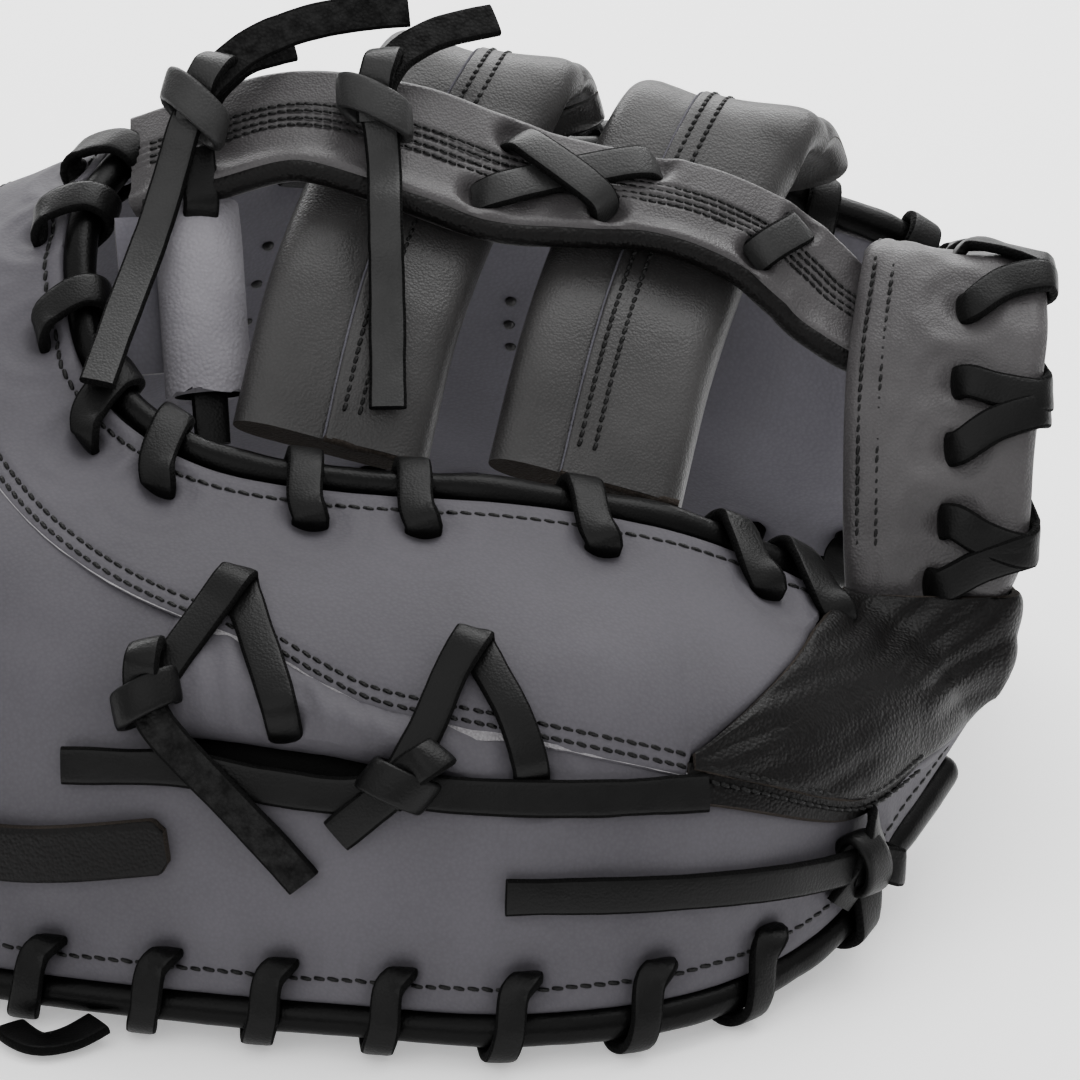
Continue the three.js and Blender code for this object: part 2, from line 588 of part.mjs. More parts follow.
// Point of the post's face; across runs from -1 at its lower edge to 1 at its upper edge.
function postSkin(at, across, lift) {
  const { p, n, side } = postFrame(at);
  const reach = (across * column(POST, "width", at)) / 2;
  return p.addScaledVector(side, reach).addScaledVector(n, POST_THICK / 2 + lift);
}
const barFrames = (rows, steps) => {
  const path = spread(0, rows.length - 1, steps).map((at) => rowPoint(rows, at));
  return frames(path, (i) => {
    const along = path[Math.min(i + 1, steps)].clone().sub(path[Math.max(i - 1, 0)]);
    const n = v3(1, 0, BAR_LEAN).cross(along);
    return n.z < 0 && n.y > 0 ? n.negate() : n;
  });
};
const hollowBand = (line, width, thick, walled, sides) =>
  wall(
    line.map((frame) => ({
      outer: flatRing(frame, width, thick, sides),
      inner: flatRing(frame, width - 2 * walled, thick - 2 * walled, sides),
    })),
    true,
  );
const rimPoint = (at, across) =>
  pointAt(RIM, ["ax", "ay", "az"], at).lerp(pointAt(RIM, ["bx", "by", "bz"], at), across);
function rimFrame(at) {
  const side = rimPoint(at, 1).sub(rimPoint(at, 0)).normalize();
  const along = rimPoint(at + 0.05, 0.5).sub(rimPoint(at - 0.05, 0.5));
  const n = side.clone().cross(along).normalize();
  return { p: rimPoint(at, 0.5), n, side };
}
const rimWidth = (at) => rimPoint(at, 0).distanceTo(rimPoint(at, 1));
const onRim = (q, mm, height) => rimPoint(q, 1 - mm / rimWidth(q)).addScaledVector(rimFrame(q).n, height);
const RIM_EDGE = {
  radius: RIM_THICK / 2,
  up: (q) => rimFrame(q).n,
  away: (q) => rimFrame(q).side,
  middle: (q) => rimPoint(q, 1 - RIM_THICK / 2 / rimWidth(q)),
  front: (q, mm, lift) => onRim(q, mm, RIM_THICK / 2 + lift),
  behind: (q, mm, lift) => onRim(q, mm, -RIM_THICK / 2 - lift),
};

// Knot: a short thick turn of lace about `along`, resting on a surface with normal n.
function knot(p, along, n, radius) {
  const a = along.clone().addScaledVector(n, -along.dot(n)).normalize();
  const frame = (d) => ({ p: p.clone().addScaledVector(a, d), n, side: a.clone().cross(n) });
  const half = LACE_WIDTH / 2;
  return rod([-half, -half * 0.6, half * 0.6, half].map((d, i) => {
    const size = i % 3 ? 1 : 0.78;
    return flatRing(frame(d), 2.3 * radius * size, 1.7 * radius * size, 8, 0.8);
  }));
}
// Anchors of a lace lying on a surface; rows hold its two coordinates and the height over it.
const lying = (surface, rows) =>
  rows.map(({ b, r, up }) => ({ p: surface(b, r, RIDE + up), n: normalOf(surface, b, r) }));

// Strap: station, share of the way to the outer edge, height over the back and width in millimetres.
const STRAP = named(["b", "r", "up", "width"], [
  [6.92, 0.752, 0, TAB_WIDTH],
  [7.9, 0.8, 0, TAB_WIDTH],
  [8.6, 0.8, 0, TAB_WIDTH],
  [9.3, 0.8, 0.4, STRAP_WIDTH],
  [10.1, 0.86, 0.4, STRAP_WIDTH],
  [11.2, 0.88, 0, STRAP_WIDTH],
  [12.8, 0.88, 0, STRAP_WIDTH],
  [13.8, 0.86, 0.6, STRAP_WIDTH],
  [14.6, 0.8, 0.6, STRAP_WIDTH],
]);

const LOOKS = {
  grey_leather: { color: 0x6b6a70, roughness: 0.62, metalness: 0 },
  black_leather: { color: 0x3c3a3b, roughness: 0.55, metalness: 0 },
  brown_black_leather: { color: 0x403b38, roughness: 0.55, metalness: 0 },
  lace: { color: 0x333234, roughness: 0.6, metalness: 0 },
  welt: { color: 0x232224, roughness: 0.5, metalness: 0 },
};
const materials = Object.fromEntries(
  Object.entries(LOOKS).map(([name, look]) => [name, new THREE.MeshStandardMaterial({ name, ...look })]),
);
const model = new THREE.Group();
const laces = [];
const leather = [];
const keep = (list, name, body, look, punches, room) => list.push({ name, body, look, punches, room });
const keepLace = (name, { body, room, punches = [] }) => keep(laces, name, body, "lace", punches, room);
const THUMB_SIDE = weltEdge(true);

// Laces
const whipped = (name, holes, edge, lean, inset, depth) => {
  keepLace(name, whip(holes, edge, lean, inset, depth));
};
whipped("lace_thumb_edge", THUMB_EDGE_HOLES, THUMB_SIDE, 9);
whipped("lace_finger_edge", evenly(outerEdge, 15.2, 20.3, EDGE_PITCH), weltEdge(true), 6);
whipped("lace_web_thumb", THUMB_WEB_HOLES, weltEdge(false, SEAM_STEP), 5);
whipped("lace_web_crotch", CROTCH_HOLES, weltEdge(false, SEAM_STEP), 3);
whipped("lace_web_finger", evenly(innerEdge, 14.8, 20.1, 21), weltEdge(false), 5);
keepLace("lace_rim", spiral(RIM_HOLES, RIM_EDGE, RIM_HOLE_INSET));

// Knots and their free ends
const air = (rows, n) => {
  const steps = Math.ceil(rows.length * 1.5);
  return spread(0, rows.length - 1, steps).map((at) => ({ p: rowPoint(rows, at), n }));
};
const KNOT_RADIUS = 5;
const KNOT_LIFT = 5;
const join = (...pairs) => pairs.reduce((a, b) => ({ body: a.body.add(b.body), room: a.room.add(b.room) }));
const onBack = (...rows) => pair(lying(backSkin, named(["b", "r", "up"], rows)));
const knotPair = (p, along, n) => ({
  body: knot(p, along, n, KNOT_RADIUS),
  room: knot(p, along, n, KNOT_RADIUS + GAP / 2),
});
const KNOT_TURN = v3(0.6, -0.4, -0.7); // along the middle of a knot on the back
const backKnot = (b, r) => knotPair(backSkin(b, r, KNOT_LIFT), KNOT_TURN, normalOf(backSkin, b, r));
keepLace("tie_thumb_heel", join(
  onBack([6.58, 0.225, 1.1], [6.72, 0.28, 1.5], [6.88, 0.38, 1.2], [7.08, 0.5, 2.6]),
  onBack([6.74, 0.225, 1.1], [6.56, 0.29, 1.5], [6.42, 0.4, 1], [6.29, 0.52, 0]),
  backKnot(7.1, 0.508),
  onBack([7.08, 0.515, 2.6], [6.96, 0.575, 3], [6.55, 0.68, 2.6], [6.16, 0.793, 0.4]),
));
keepLace("tie_thumb_tip", join(
  onBack([5.12, 0.335, 1.6], [5.25, 0.39, 2], [5.4, 0.47, 1.8], [5.58, 0.61, 2.4]),
  onBack([5.28, 0.335, 1.6], [5.14, 0.39, 2], [5.06, 0.48, 1.9], [4.98, 0.58, 0.3]),
  backKnot(5.61, 0.632),
  onBack([5.64, 0.635, 2], [5.9, 0.65, 0.4], [6.35, 0.64, 0], [6.86, 0.622, 0], [7.59, 0.643, 0]),
  onBack([5.58, 0.635, 2], [5.3, 0.64, 0.3], [4.7, 0.642, 0.2], [4.1, 0.633, 0.3]),
  onBack([5.64, 0.64, 2.6], [5.8, 0.68, 2], [5.96, 0.715, 1]),
));
const edgeTurn = whip([EDGE_TIE_HOLE], THUMB_SIDE, 5);
const edgeTie = join(
  edgeTurn,
  backKnot(2.86, 0.862),
  onBack([2.9, 0.86, 2.4], [3.3, 0.83, 1.2], [3.75, 0.812, 0.4], [4.37, 0.803, 0.2], [5.09, 0.801, 0.2]),
);
keepLace("tie_edge", { ...edgeTie, punches: edgeTurn.punches });
const postKnot = (rows) => knotPair(sized(rows[0].x, rows[0].y, rows[0].z), v3(1, 0.3, -0.2), POST_FACE);
keepLace("tie_crotch", join(
  postKnot(CROTCH_TIE),
  pair(air([...CROTCH_TIE, ...CROTCH_TAIL_DOWN], POST_FACE)),
  pair(air([...CROTCH_TIE, ...CROTCH_TAIL_UP], v3(-0.2, -0.9, 0.4))),
  pair(air([...CROTCH_TIE, ...CROTCH_TAIL_BACK], v3(-0.2, -0.9, 0.4))),
));
keepLace("tie_post", join(
  postKnot(POST_TIE),
  pair(air([...POST_TIE, ...POST_TAIL_DOWN], POST_FACE)),
  pair(air([...POST_TIE, ...POST_TAIL_UP], v3(-0.3, -0.7, 0.6))),
));
const onPost = (rows) =>
  rows.map(({ at, across, up }) => ({ p: postSkin(at, across, RIDE + up), n: postFrame(at).n }));
const POST_HOLE_DEPTH = -3.2; // the ends of the post laces stop inside the post
const POST_PUNCH = 9;
const postLace = (name, rows) => {
  const anchors = onPost(rows);
  const ends = [rows[0], rows[rows.length - 1]];
  const run = anchors[anchors.length - 1].p.clone().sub(anchors[0].p).normalize();
  const punches = ends.map(({ at, across }) => {
    const n = postFrame(at).n;
    const flat = run.clone().addScaledVector(n, -run.dot(n)).normalize();
    return punch(postSkin(at, across, 0.4), n, flat, POST_PUNCH);
  });
  keepLace(name, { ...pair(anchors), punches });
};
const POST_KEYS = ["at", "across", "up"];
postLace("lace_post_cross_under", named(POST_KEYS, [
  [6.15, 0.69, POST_HOLE_DEPTH],
  [5.98, 0.58, 0.4],
  [4.95, 0.05, 0.2],
  [3.97, -0.41, 0.4],
  [3.8, -0.49, POST_HOLE_DEPTH],
]));
postLace("lace_post_cross_over", named(POST_KEYS, [
  [4.05, 0.6, POST_HOLE_DEPTH],
  [4.17, 0.51, 0.5],
  [4.48, 0.31, 2.7],
  [5.28, -0.2, 2.9],
  [5.48, -0.35, 1.2],
  [5.58, -0.46, POST_HOLE_DEPTH],
]));
postLace("lace_post_loop", named(POST_KEYS, [
  [8.42, 0.66, POST_HOLE_DEPTH],
  [8.38, 0.45, 0.5],
  [8.1, -0.25, 0.5],
  [8, -0.46, POST_HOLE_DEPTH],
]));
keepLace("tail_heel", pair(air(HEEL_TAIL, UP)));

// Leather
const keepGrey = (name, body) => keep(leather, name, body, "grey_leather");
keepGrey("palm_shell", sheet(palmSkin, 0.1, LAST - 0.1, 36, fromWeb, fromEdge, 5, LEATHER));
const upperHigh = (b) => (b < PATCH_END ? Math.min(seam(b), patchEdge(b)) - GAP / span(b) : seam(b));
keepGrey("back_upper", sheet(backSkin, 2.5, 13.4, 26, fromWeb, upperHigh, 3, LEATHER, SEAM_STEP));
const SEAM_GAP = 1;
const below = (b) => seam(b) + SEAM_GAP / span(b);
// The slit is widest in its middle and closes at both ends.
const slitHalf = (b) => {
  const share = (b - SLIT_START) / (SLIT_END - SLIT_START);
  return ((0.15 + 0.85 * Math.sin(Math.PI * share)) * SLIT_WIDTH) / 2 / span(b);
};
const slitLow = (b) => border(SLIT, b) - slitHalf(b);
const slitHigh = (b) => border(SLIT, b) + slitHalf(b);
const cutThrough = 2 * SLIT_DEPTH;
const slitOpening = sheet(backSkin, SLIT_START, SLIT_END, 6, slitLow, slitHigh, 1, cutThrough, SLIT_DEPTH);
const thumbLower = sheet(backSkin, 0.3, 10, 22, below, wristEdge, 4, LEATHER).subtract(slitOpening);
keepGrey("thumb_back_lower", thumbLower);
keepGrey("hand_back", sheet(backSkin, 10.02, 13.4, 9, below, wristEdge, 5, LEATHER));
keepGrey("finger_back", sheet(backSkin, 13.42, LAST - 0.4, 16, fromWeb, wristEdge, 8, LEATHER));
const PATCH_ON_PALM = 0.8; // stations that a tip patch reaches along the palm
const patchHigh = (b) => seam(b) - GAP / span(b);
const thumbPatch = tipPatch(0, 1, spread(0, 4.1, 10), PATCH_ON_PALM, patchEdge, patchHigh);
const fingerRows = spread(LAST, LAST - 0.9, 2);
const fingerPatch = tipPatch(LAST, -1, fingerRows, PATCH_ON_PALM, () => 0.02, () => 0.98, PATCH_LIFT + 1);
const webWelt = (radius) => welt(spread(2.2, LAST - 1, 46).map(innerEdge), radius, 8);
keep(leather, "thumb_tip_patch", thumbPatch, "black_leather");
keep(leather, "finger_tip_patch", fingerPatch, "black_leather");
keep(leather, "welt_web", webWelt(WELT_RADIUS), "welt");
keep(leather, "welt_thumb_edge", welt(spread(0.9, 9.2, 26).map(outerEdge), WELT_RADIUS, 8), "welt");
keep(leather, "welt_finger_edge", welt(spread(14.6, LAST - 0.9, 24).map(outerEdge), WELT_RADIUS, 8), "welt");

// Wrist: strap over the hand opening, ending in a narrow pull tab on the thumb panel, and bound edges
const strapRows = spread(0, STRAP.length - 1, 18);
const strapPath = strapRows.map((at) => {
  const [b, r, lift] = ["b", "r", "up"].map((key) => column(STRAP, key, at));
  return { p: backSkin(b, r, STRAP_THICK / 2 + GAP + lift), n: normalOf(backSkin, b, r) };
});
const strapFrames = frames(strapPath.map((a) => a.p), (i) => strapPath[i].n);
const strapWidth = (i) => column(STRAP, "width", strapRows[i]);
keep(leather, "wrist_strap", band(strapFrames, strapWidth, STRAP_THICK, 8), "black_leather");
const bound = (surface, from, to, rows, r) => {
  const beside = (b) => surface(b, r(b) + (BINDING_RADIUS + 2 * GAP) / span(b), -LEATHER / 2);
  return welt(spread(from, to, rows).map(beside), BINDING_RADIUS, 6);
};
keep(leather, "binding_palm", bound(palmSkin, 10.1, 14, 12, fromEdge), "welt");
keep(leather, "binding_back", bound(backSkin, 10.7, 13.3, 12, wristEdge), "welt");

// Web: the post, the rim, the roll and the flap end against the pieces that carry them.
const postPath = spread(0, POST.length - 1, 18);
const postBand = (more) =>
  band(postPath.map(postFrame), (i) => column(POST, "width", postPath[i]) + more, POST_THICK + more, 10);
const rimPath = spread(0, RIM.length - 1, 16);
const rimBand = band(rimPath.map(rimFrame), (i) => rimWidth(rimPath[i]), RIM_THICK, 10);
const weltRoom = webWelt(WELT_RADIUS + GAP);
const postRoom = postBand(2 * GAP);
const rollBand = hollowBand(barFrames(WEB_ROLL, 5), TUBE_WIDTH, TUBE_THICK, TUBE_WALL, 10);
const flapBand = band(barFrames(WEB_FLAP, 5), () => FLAP_WIDTH, FLAP_THICK, 8);
keep(leather, "web_post", postBand(0).subtract(weltRoom), "black_leather");
for (const [name, rows] of [["web_bar_lower", LOWER_BAR], ["web_bar_upper", UPPER_BAR]]) {
  const bar = hollowBand(barFrames(rows, 10), BAR_WIDTH, BAR_THICK, BAR_WALL, 10);
  keep(leather, name, bar, "brown_black_leather");
}
keep(leather, "web_roll", rollBand.subtract(postRoom), "grey_leather");
keep(leather, "web_flap", flapBand.subtract(postRoom).subtract(weltRoom), "grey_leather");
keep(leather, "web_rim", rimBand.subtract(weltRoom), "black_leather");

// Every lace opens its own holes in the leather that it passes through.
const meets = (a, b) => {
  const [p, q] = [a.boundingBox(), b.boundingBox()];
  return [0, 1, 2].every((k) => p.min[k] <= q.max[k] && q.min[k] <= p.max[k]);
};
for (const piece of leather) {
  const holes = laces.flatMap(({ punches }) => punches).filter((hole) => meets(piece.body, hole));
  for (const hole of holes) piece.body = piece.body.subtract(hole);
}

// Where a lace still presses into the leather, the leather gives way around it.
const touches = (a, b) => meets(a, b) && a.intersect(b).volume() > 0;
for (const piece of leather) {
  const pressing = laces.filter((each) => touches(piece.body, each.body));
  for (const { room } of pressing) piece.body = piece.body.subtract(room);
}

for (const { name, body, look } of [...leather, ...laces]) {
  const mesh = body.getMesh();
  const geometry = new THREE.BufferGeometry();
  geometry.setAttribute("position", new THREE.BufferAttribute(new Float32Array(mesh.vertProperties), 3));
  geometry.setIndex(new THREE.BufferAttribute(new Uint32Array(mesh.triVerts), 1));
  const made = new THREE.Mesh(geometry, materials[look]);
  made.name = name;
  model.add(made);
}

// The origin is the middle of the box round the whole mitt, at the table.
const box = new THREE.Box3().setFromObject(model);
const middle = box.getCenter(v3(0, 0, 0));
for (const mesh of model.children) mesh.geometry.translate(-middle.x, -middle.y, -box.min.z);

export default model;
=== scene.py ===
# First baseman mitt in grey and black leather, lying palm down as in the photograph.
# Shapes are worked out in millimetres in the mitt's own frame, and moved to the row frame at the end.
import math

import bpy
import numpy as np
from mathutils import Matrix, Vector


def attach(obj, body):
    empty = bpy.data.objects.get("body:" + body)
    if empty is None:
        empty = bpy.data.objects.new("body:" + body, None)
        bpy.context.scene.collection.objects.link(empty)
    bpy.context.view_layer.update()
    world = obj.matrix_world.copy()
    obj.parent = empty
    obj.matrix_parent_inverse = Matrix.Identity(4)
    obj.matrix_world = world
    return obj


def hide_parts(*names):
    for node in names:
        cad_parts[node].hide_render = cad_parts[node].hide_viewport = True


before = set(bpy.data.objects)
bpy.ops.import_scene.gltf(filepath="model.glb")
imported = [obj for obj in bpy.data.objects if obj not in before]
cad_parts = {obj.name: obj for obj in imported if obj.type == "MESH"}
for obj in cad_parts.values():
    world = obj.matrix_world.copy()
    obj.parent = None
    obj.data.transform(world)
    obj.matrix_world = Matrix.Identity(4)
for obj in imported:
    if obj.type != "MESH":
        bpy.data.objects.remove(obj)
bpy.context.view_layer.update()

# Middle of the box round the mitt, in the mitt's own frame: the row frame's origin
ORIGIN = np.array([1.2806, 116.2947, -2.1476])

# Sizes in millimetres
LEATHER = 2.4  # wall of the panels
PATCH_LEATHER = 1.6  # wall of the patches over the tips
LACE_WIDTH = 6.6
LACE_THICK = 2.0
RIDE = LACE_THICK / 2 + 0.15  # middle of a lace above the leather that it lies on
EDGE_LACE_WIDTH = 5.6  # laces pulled narrow round the outer edge
WELT_RADIUS = 3.5
BINDING_RADIUS = 2.3
HOLE_INSET = 11  # lace hole to the middle of the welt
EDGE_INSET = 8.6  # the same on the outer edge
CROTCH_INSET = 9  # the same where the post begins
SEAM_STEP = 1.0  # how far the upper panel stands over the lower ones
WELT_STANCE = 2.7  # half the gap between the skins at the web
SWELL_POWER = 1.25  # how quickly a skin swells away from its borders
MOUTH_POWER = 1.6  # how late the mouth opens across a skin

# Stations round the horseshoe of the mitt, from the thumb tip over the heel to the finger tips:
# middle of the web welt, middle of the outer welt, swell of back and palm, half mouth on each side, and 1
# where the mouth opens straight up.
STATIONS = np.array([
    [137, 81, 50.5, 133.5, 77, 27, 2, 1.5, 2.7, 2.7, 0],
    [119, 78, 51.5, 128, 70, 20.4, 7, 2.5, 2.7, 2.7, 0],
    [107.7, 76, 52.6, 118.6, 53, 14.8, 12, 3.5, 2.7, 2.7, 0],
    [94, 73, 61, 104.4, 31, 5.5, 16, 4.5, 2.7, 2.7, 0],
    [75.1, 70.1, 69.6, 82.1, 9, 4, 19, 5.5, 2.7, 2.7, 0],
    [47, 68, 75.7, 51, 0, 4.1, 22, 6, 2.7, 2.7, 0],
    [20, 68.5, 77.6, 19.1, 3, 4.5, 22.5, 6, 2.7, 2.7, 0],
    [-2.9, 70.8, 80.8, -13, 9, 4.5, 22.5, 6.5, 2.7, 2.7, 0],
    [-18, 77, 87, -45, 18.4, 4, 21.5, 7.5, 2.7, 2.7, 0],
    [-26.7, 87, 95, -87, 33, 4.2, 17, 11, 3.3, 2.7, 0.2],
    [-29.6, 99.6, 104.3, -126, 55.5, 11.9, 9, 14, 8, 6, 0.7],
    [-29, 112, 111.5, -144, 92, 31.7, 4.5, 15, 21, 20, 1],
    [-25.5, 121, 115.3, -145, 132, 35.6, 3, 15, 24, 23.5, 1],
    [-18.9, 130, 118.2, -144, 171, 29, 4, 14, 19, 17, 1],
    [-6, 141, 117, -124, 203, 10, 8, 12, 6.5, 4.5, 0.7],
    [12, 152, 111.5, -84, 219.5, 4.1, 14, 9, 3.3, 2.7, 0.2],
    [36, 160, 107, -40.6, 230, 4.1, 19, 7, 2.7, 2.7, 0],
    [60, 163, 104, 6, 232, 4.1, 22, 7, 2.7, 2.7, 0],
    [85, 165, 104, 56, 220, 4.1, 22, 8, 2.7, 2.7, 0],
    [105, 166, 93, 98, 197, 4.5, 20, 8, 2.7, 2.7, 0],
    [122, 166, 86, 124, 183, 10, 15, 5.5, 2.7, 2.7, 0],
    [134, 165, 76, 138, 177, 27, 9, 3, 2.7, 2.7, 0],
    [139.5, 164, 62, 141.5, 170, 47, 2, 1.5, 2.7, 2.7, 0],
])
LAST = len(STATIONS) - 1
BACK_SWELL, PALM_SWELL, BACK_MOUTH, PALM_MOUTH, UPRIGHT = range(6, 11)  # columns of STATIONS

# Border lines as rows of station and share of the way to the outer edge
SEAM = np.array([[0, 0.8], [1.5, 0.78], [2.9, 0.71], [4.2, 0.59], [5.5, 0.5], [5.9, 0.475], [6.6, 0.36],
                 [7.4, 0.313], [8.8, 0.235], [10.5, 0.2], [13.4, 0.22]])
PATCH_EDGE = np.array([[2.05, 0], [2.7, 0.17], [3.43, 0.339], [3.89, 0.471], [4.18, 0.59]])
PATCH_END = PATCH_EDGE[-1, 0]
SLIT = np.array([[2.88, 0.73], [4.13, 0.633], [5.5, 0.621], [5.96, 0.611], [6.42, 0.594], [6.88, 0.564],
                 [7.4, 0.53]])

# Web: rows of x, y, z and, for the post, the width
POST = np.array([
    [-20, 122, 116.8, 22.5],
    [-7, 119, 122.5, 23],
    [10, 118, 127.2, 23.6],
    [28.4, 117, 123.8, 26.5],
    [46.7, 116, 117.4, 26.5],
    [58, 116, 115, 23.5],
    [72.3, 116, 113, 20],
    [83.3, 115, 110.8, 20],
    [94.4, 114, 105.8, 20.5],
    [102, 113, 99.8, 20.5],
    [107.5, 112, 94.6, 20.5],
    [113, 111.5, 90.8, 20.5],
    [118.5, 111, 88.6, 20.5],
])
POST_THICK = 5.6
LOWER_BAR = np.array([[16, 79, 80], [22, 97, 100], [30.5, 121.8, 113.7], [41, 142, 125.5], [46, 151, 120],
                      [49, 151.5, 110.5]])
UPPER_BAR = np.array([[62, 79, 72], [68, 97, 90], [76, 120.8, 103.3], [86, 142, 115.5], [92, 152, 110],
                      [95, 155, 101]])
WEB_ROLL = np.array([
    [-9.1, 112.2, 113.2],
    [-8.4, 108, 109],
    [-7.4, 100, 98],
    [-6.1, 91, 85],
])
WEB_FLAP = np.array([
    [-20.4, 110.8, 111.6],
    [-20, 108, 108],
    [-18.9, 103, 99],
    [-17.7, 96, 87],
])
BAR_WIDTH = 36
BAR_THICK = 9.5
BAR_LEAN = -0.25
RIM = np.array([
    [110, 77.8, 48, 138, 80.6, 47.5],
    [109.3, 81.3, 59.5, 142.5, 81.3, 58.5],
    [109.3, 88, 72, 144.2, 90, 74.6],
    [109.7, 95, 83, 145.6, 97, 84],
    [110.7, 102, 91, 147, 104, 92.5],
    [113.5, 116, 101.5, 147, 116, 98],
    [116, 133, 95.4, 146, 131, 92.3],
    [118.5, 147, 89.2, 144.5, 146, 85],
    [121, 158, 84.4, 142.5, 158, 77.5],
])
RIM_THICK = 4.4

# Stations of the lace holes
THUMB_EDGE_HOLES = [3.6, 4.28, 4.98, 5.64, 6.3, 6.94, 7.62, 8.1, 8.55]
THUMB_WEB_HOLES = [2.55, 3.28, 4.45, 5.5, 6.26, 7.5, 8.35]
CROTCH_HOLES = [9.6, 11, 12.4]
EDGE_TIE_HOLE = 2.66
RIM_HOLES = [0.55, 1.3, 2.1, 3.1, 4.3, 5.3, 6.3, 7.2]
RIM_LEAN = [0.45, -0.3]
RIM_INSET = 16
LACE_PITCH = 21  # lace holes along the finger side

UP = np.array([0.0, 0.0, 1.0])


def unit(v):
    return v / np.maximum(np.linalg.norm(v, axis=-1, keepdims=True), 1e-9)


def dot(a, b):
    return np.sum(a * b, axis=-1, keepdims=True)


def smooth(x, low, high):
    t = np.clip((np.asarray(x, float) - low) / (high - low), 0, 1)
    return t * t * (3 - 2 * t)


def bell(x):
    return np.exp(-(x**2))


def together(*values):
    return np.broadcast_arrays(*(np.asarray(value, float) for value in values))


def lengths_along(path):
    """Distance from a path's start to each of its points."""
    return np.concatenate([[0], np.cumsum(np.linalg.norm(np.diff(path, axis=0), axis=1))])


def spline(rows, t):
    """Catmull-Rom value of a table at fractional rows."""
    last = len(rows) - 1
    t = np.clip(np.asarray(t, float), 0, last)
    i = np.minimum(t.astype(int), last - 1)
    f = (t - i)[..., None]
    p0, p1, p2, p3 = (rows[np.clip(i + k, 0, last)] for k in (-1, 0, 1, 2))
    a, b = (p2 - p0) / 2, (p3 - p1) / 2
    return ((2 * f**3 - 3 * f**2 + 1) * p1 + (f**3 - 2 * f**2 + f) * a
            + (3 * f**2 - 2 * f**3) * p2 + (f**3 - f**2) * b)


def softened(rows):
    """A border line with its corners rounded, as a function of the station."""
    b = np.linspace(-1, LAST + 1, 1201)
    r = np.interp(b, rows[:, 0], rows[:, 1])
    kernel = np.exp(-0.5 * (np.arange(-24, 25) / 9.0) ** 2)
    r = np.convolve(np.pad(r, 24, mode="edge"), kernel / kernel.sum(), mode="valid")
    return lambda at: np.interp(at, b, r)


def lattice(i, j, k, seed):
    """Repeatable value from -1 to 1 for each point of a whole-number grid."""
    n = (i * 73856093) ^ (j * 19349663) ^ (k * 83492791) ^ (seed * 2654435761)
    n = (n * 1103515245 + 12345) & 0x7FFFFFFF
    n ^= n >> 13
    n = (n * 1274126177) & 0x7FFFFFFF
    return n / 0x3FFFFFFF - 1.0


def noise(p, size, seed=0):
    """Smooth noise from -1 to 1 at points p, with features about `size` millimetres across."""
    q = np.asarray(p) / size + 37.7 + seed * 11.3
    i = np.floor(q).astype(np.int64)
    f = q - i
    f = f * f * (3 - 2 * f)
    total = 0.0
    for a in (0, 1):
        for b in (0, 1):
            for c in (0, 1):
                w = ((f[..., 0] if a else 1 - f[..., 0]) * (f[..., 1] if b else 1 - f[..., 1])
                     * (f[..., 2] if c else 1 - f[..., 2]))
                total = total + w * lattice(i[..., 0] + a, i[..., 1] + b, i[..., 2] + c, seed)
    return total


# The two skins of the mitt
def station(b):
    return spline(STATIONS, b)


def inner_edge(b):
    return station(b)[..., 0:3]


def outer_edge(b):
    return station(b)[..., 3:6]


def span(b):
    return np.linalg.norm(outer_edge(b) - inner_edge(b), axis=-1)


def chord(b, r):
    """Point between the two welts, at a share r of the way to the outer one."""
    s = station(b)
    r = np.asarray(r, float)[..., None]
    return s[..., 0:3] * (1 - r) + s[..., 3:6] * r


def outward(b, r):
    """Direction from the chord to the back skin."""
    b, r = together(b, r)
    along = chord(b + 0.05, r) - chord(b - 0.05, r)
    s = station(b)
    normal = unit(np.cross(along, s[..., 3:6] - s[..., 0:3]))
    upright = (s[..., UPRIGHT] * r)[..., None]
    return unit(normal * (1 - upright) + UP * upright)


def skin_height(b, r, swell, opening):
    s = station(b)
    inside = np.clip(r, 0, 1)
    edges = WELT_STANCE * (1 - r) + s[..., opening] * inside**MOUTH_POWER
    return edges + s[..., swell] * np.sin(np.pi * inside) ** SWELL_POWER


FINGERS = 3
FINGER_RIDGE = 2.6


def ridge(b, r):
    """Height of the soft ridges over the fingers."""
    side = smooth(b, 14, 16) * (1 - smooth(b, 19.5, 21))
    return FINGER_RIDGE * side * np.abs(np.sin(np.pi * FINGERS * np.clip((r - 0.08) / 0.84, 0, 1)))


def back(b, r, lift=0.0):
    b, r = together(b, r)
    height = skin_height(b, r, BACK_SWELL, BACK_MOUTH) + ridge(b, r) + lift
    return chord(b, r) + outward(b, r) * np.asarray(height)[..., None]


def palm(b, r, lift=0.0):
    b, r = together(b, r)
    height = skin_height(b, r, PALM_SWELL, PALM_MOUTH) + lift
    return chord(b, r) - outward(b, r) * np.asarray(height)[..., None]


def normal_of(surface, b, r):
    """Normal of a skin, away from the inside of the mitt."""
    e = 0.02
    b, r = together(b, r)
    n = unit(np.cross(surface(b + e, r) - surface(b - e, r), surface(b, r + e) - surface(b, r - e)))
    facing = dot(n, surface(b, r, 1.0) - surface(b, r, 0.0))
    return np.where(facing < 0, -n, n)


def near_tip(b):
    return 1 - smooth(np.minimum(b, LAST - b), 1, 3)


def from_web(b):
    """Share where the panels begin, just under the web's welt."""
    return (WELT_RADIUS - 0.6 + 0.2 * near_tip(b)) / span(b)


def from_edge(b):
    """Share where the panels end, just under the outer welt."""
    return 1 - (WELT_RADIUS - 1.2 + 0.6 * near_tip(b)) / span(b)


seam = softened(SEAM)
slit = softened(SLIT)
patch_border = softened(PATCH_EDGE)


def patch_edge(b):
    return np.where(b < PATCH_EDGE[0, 0], 0.0, patch_border(b))


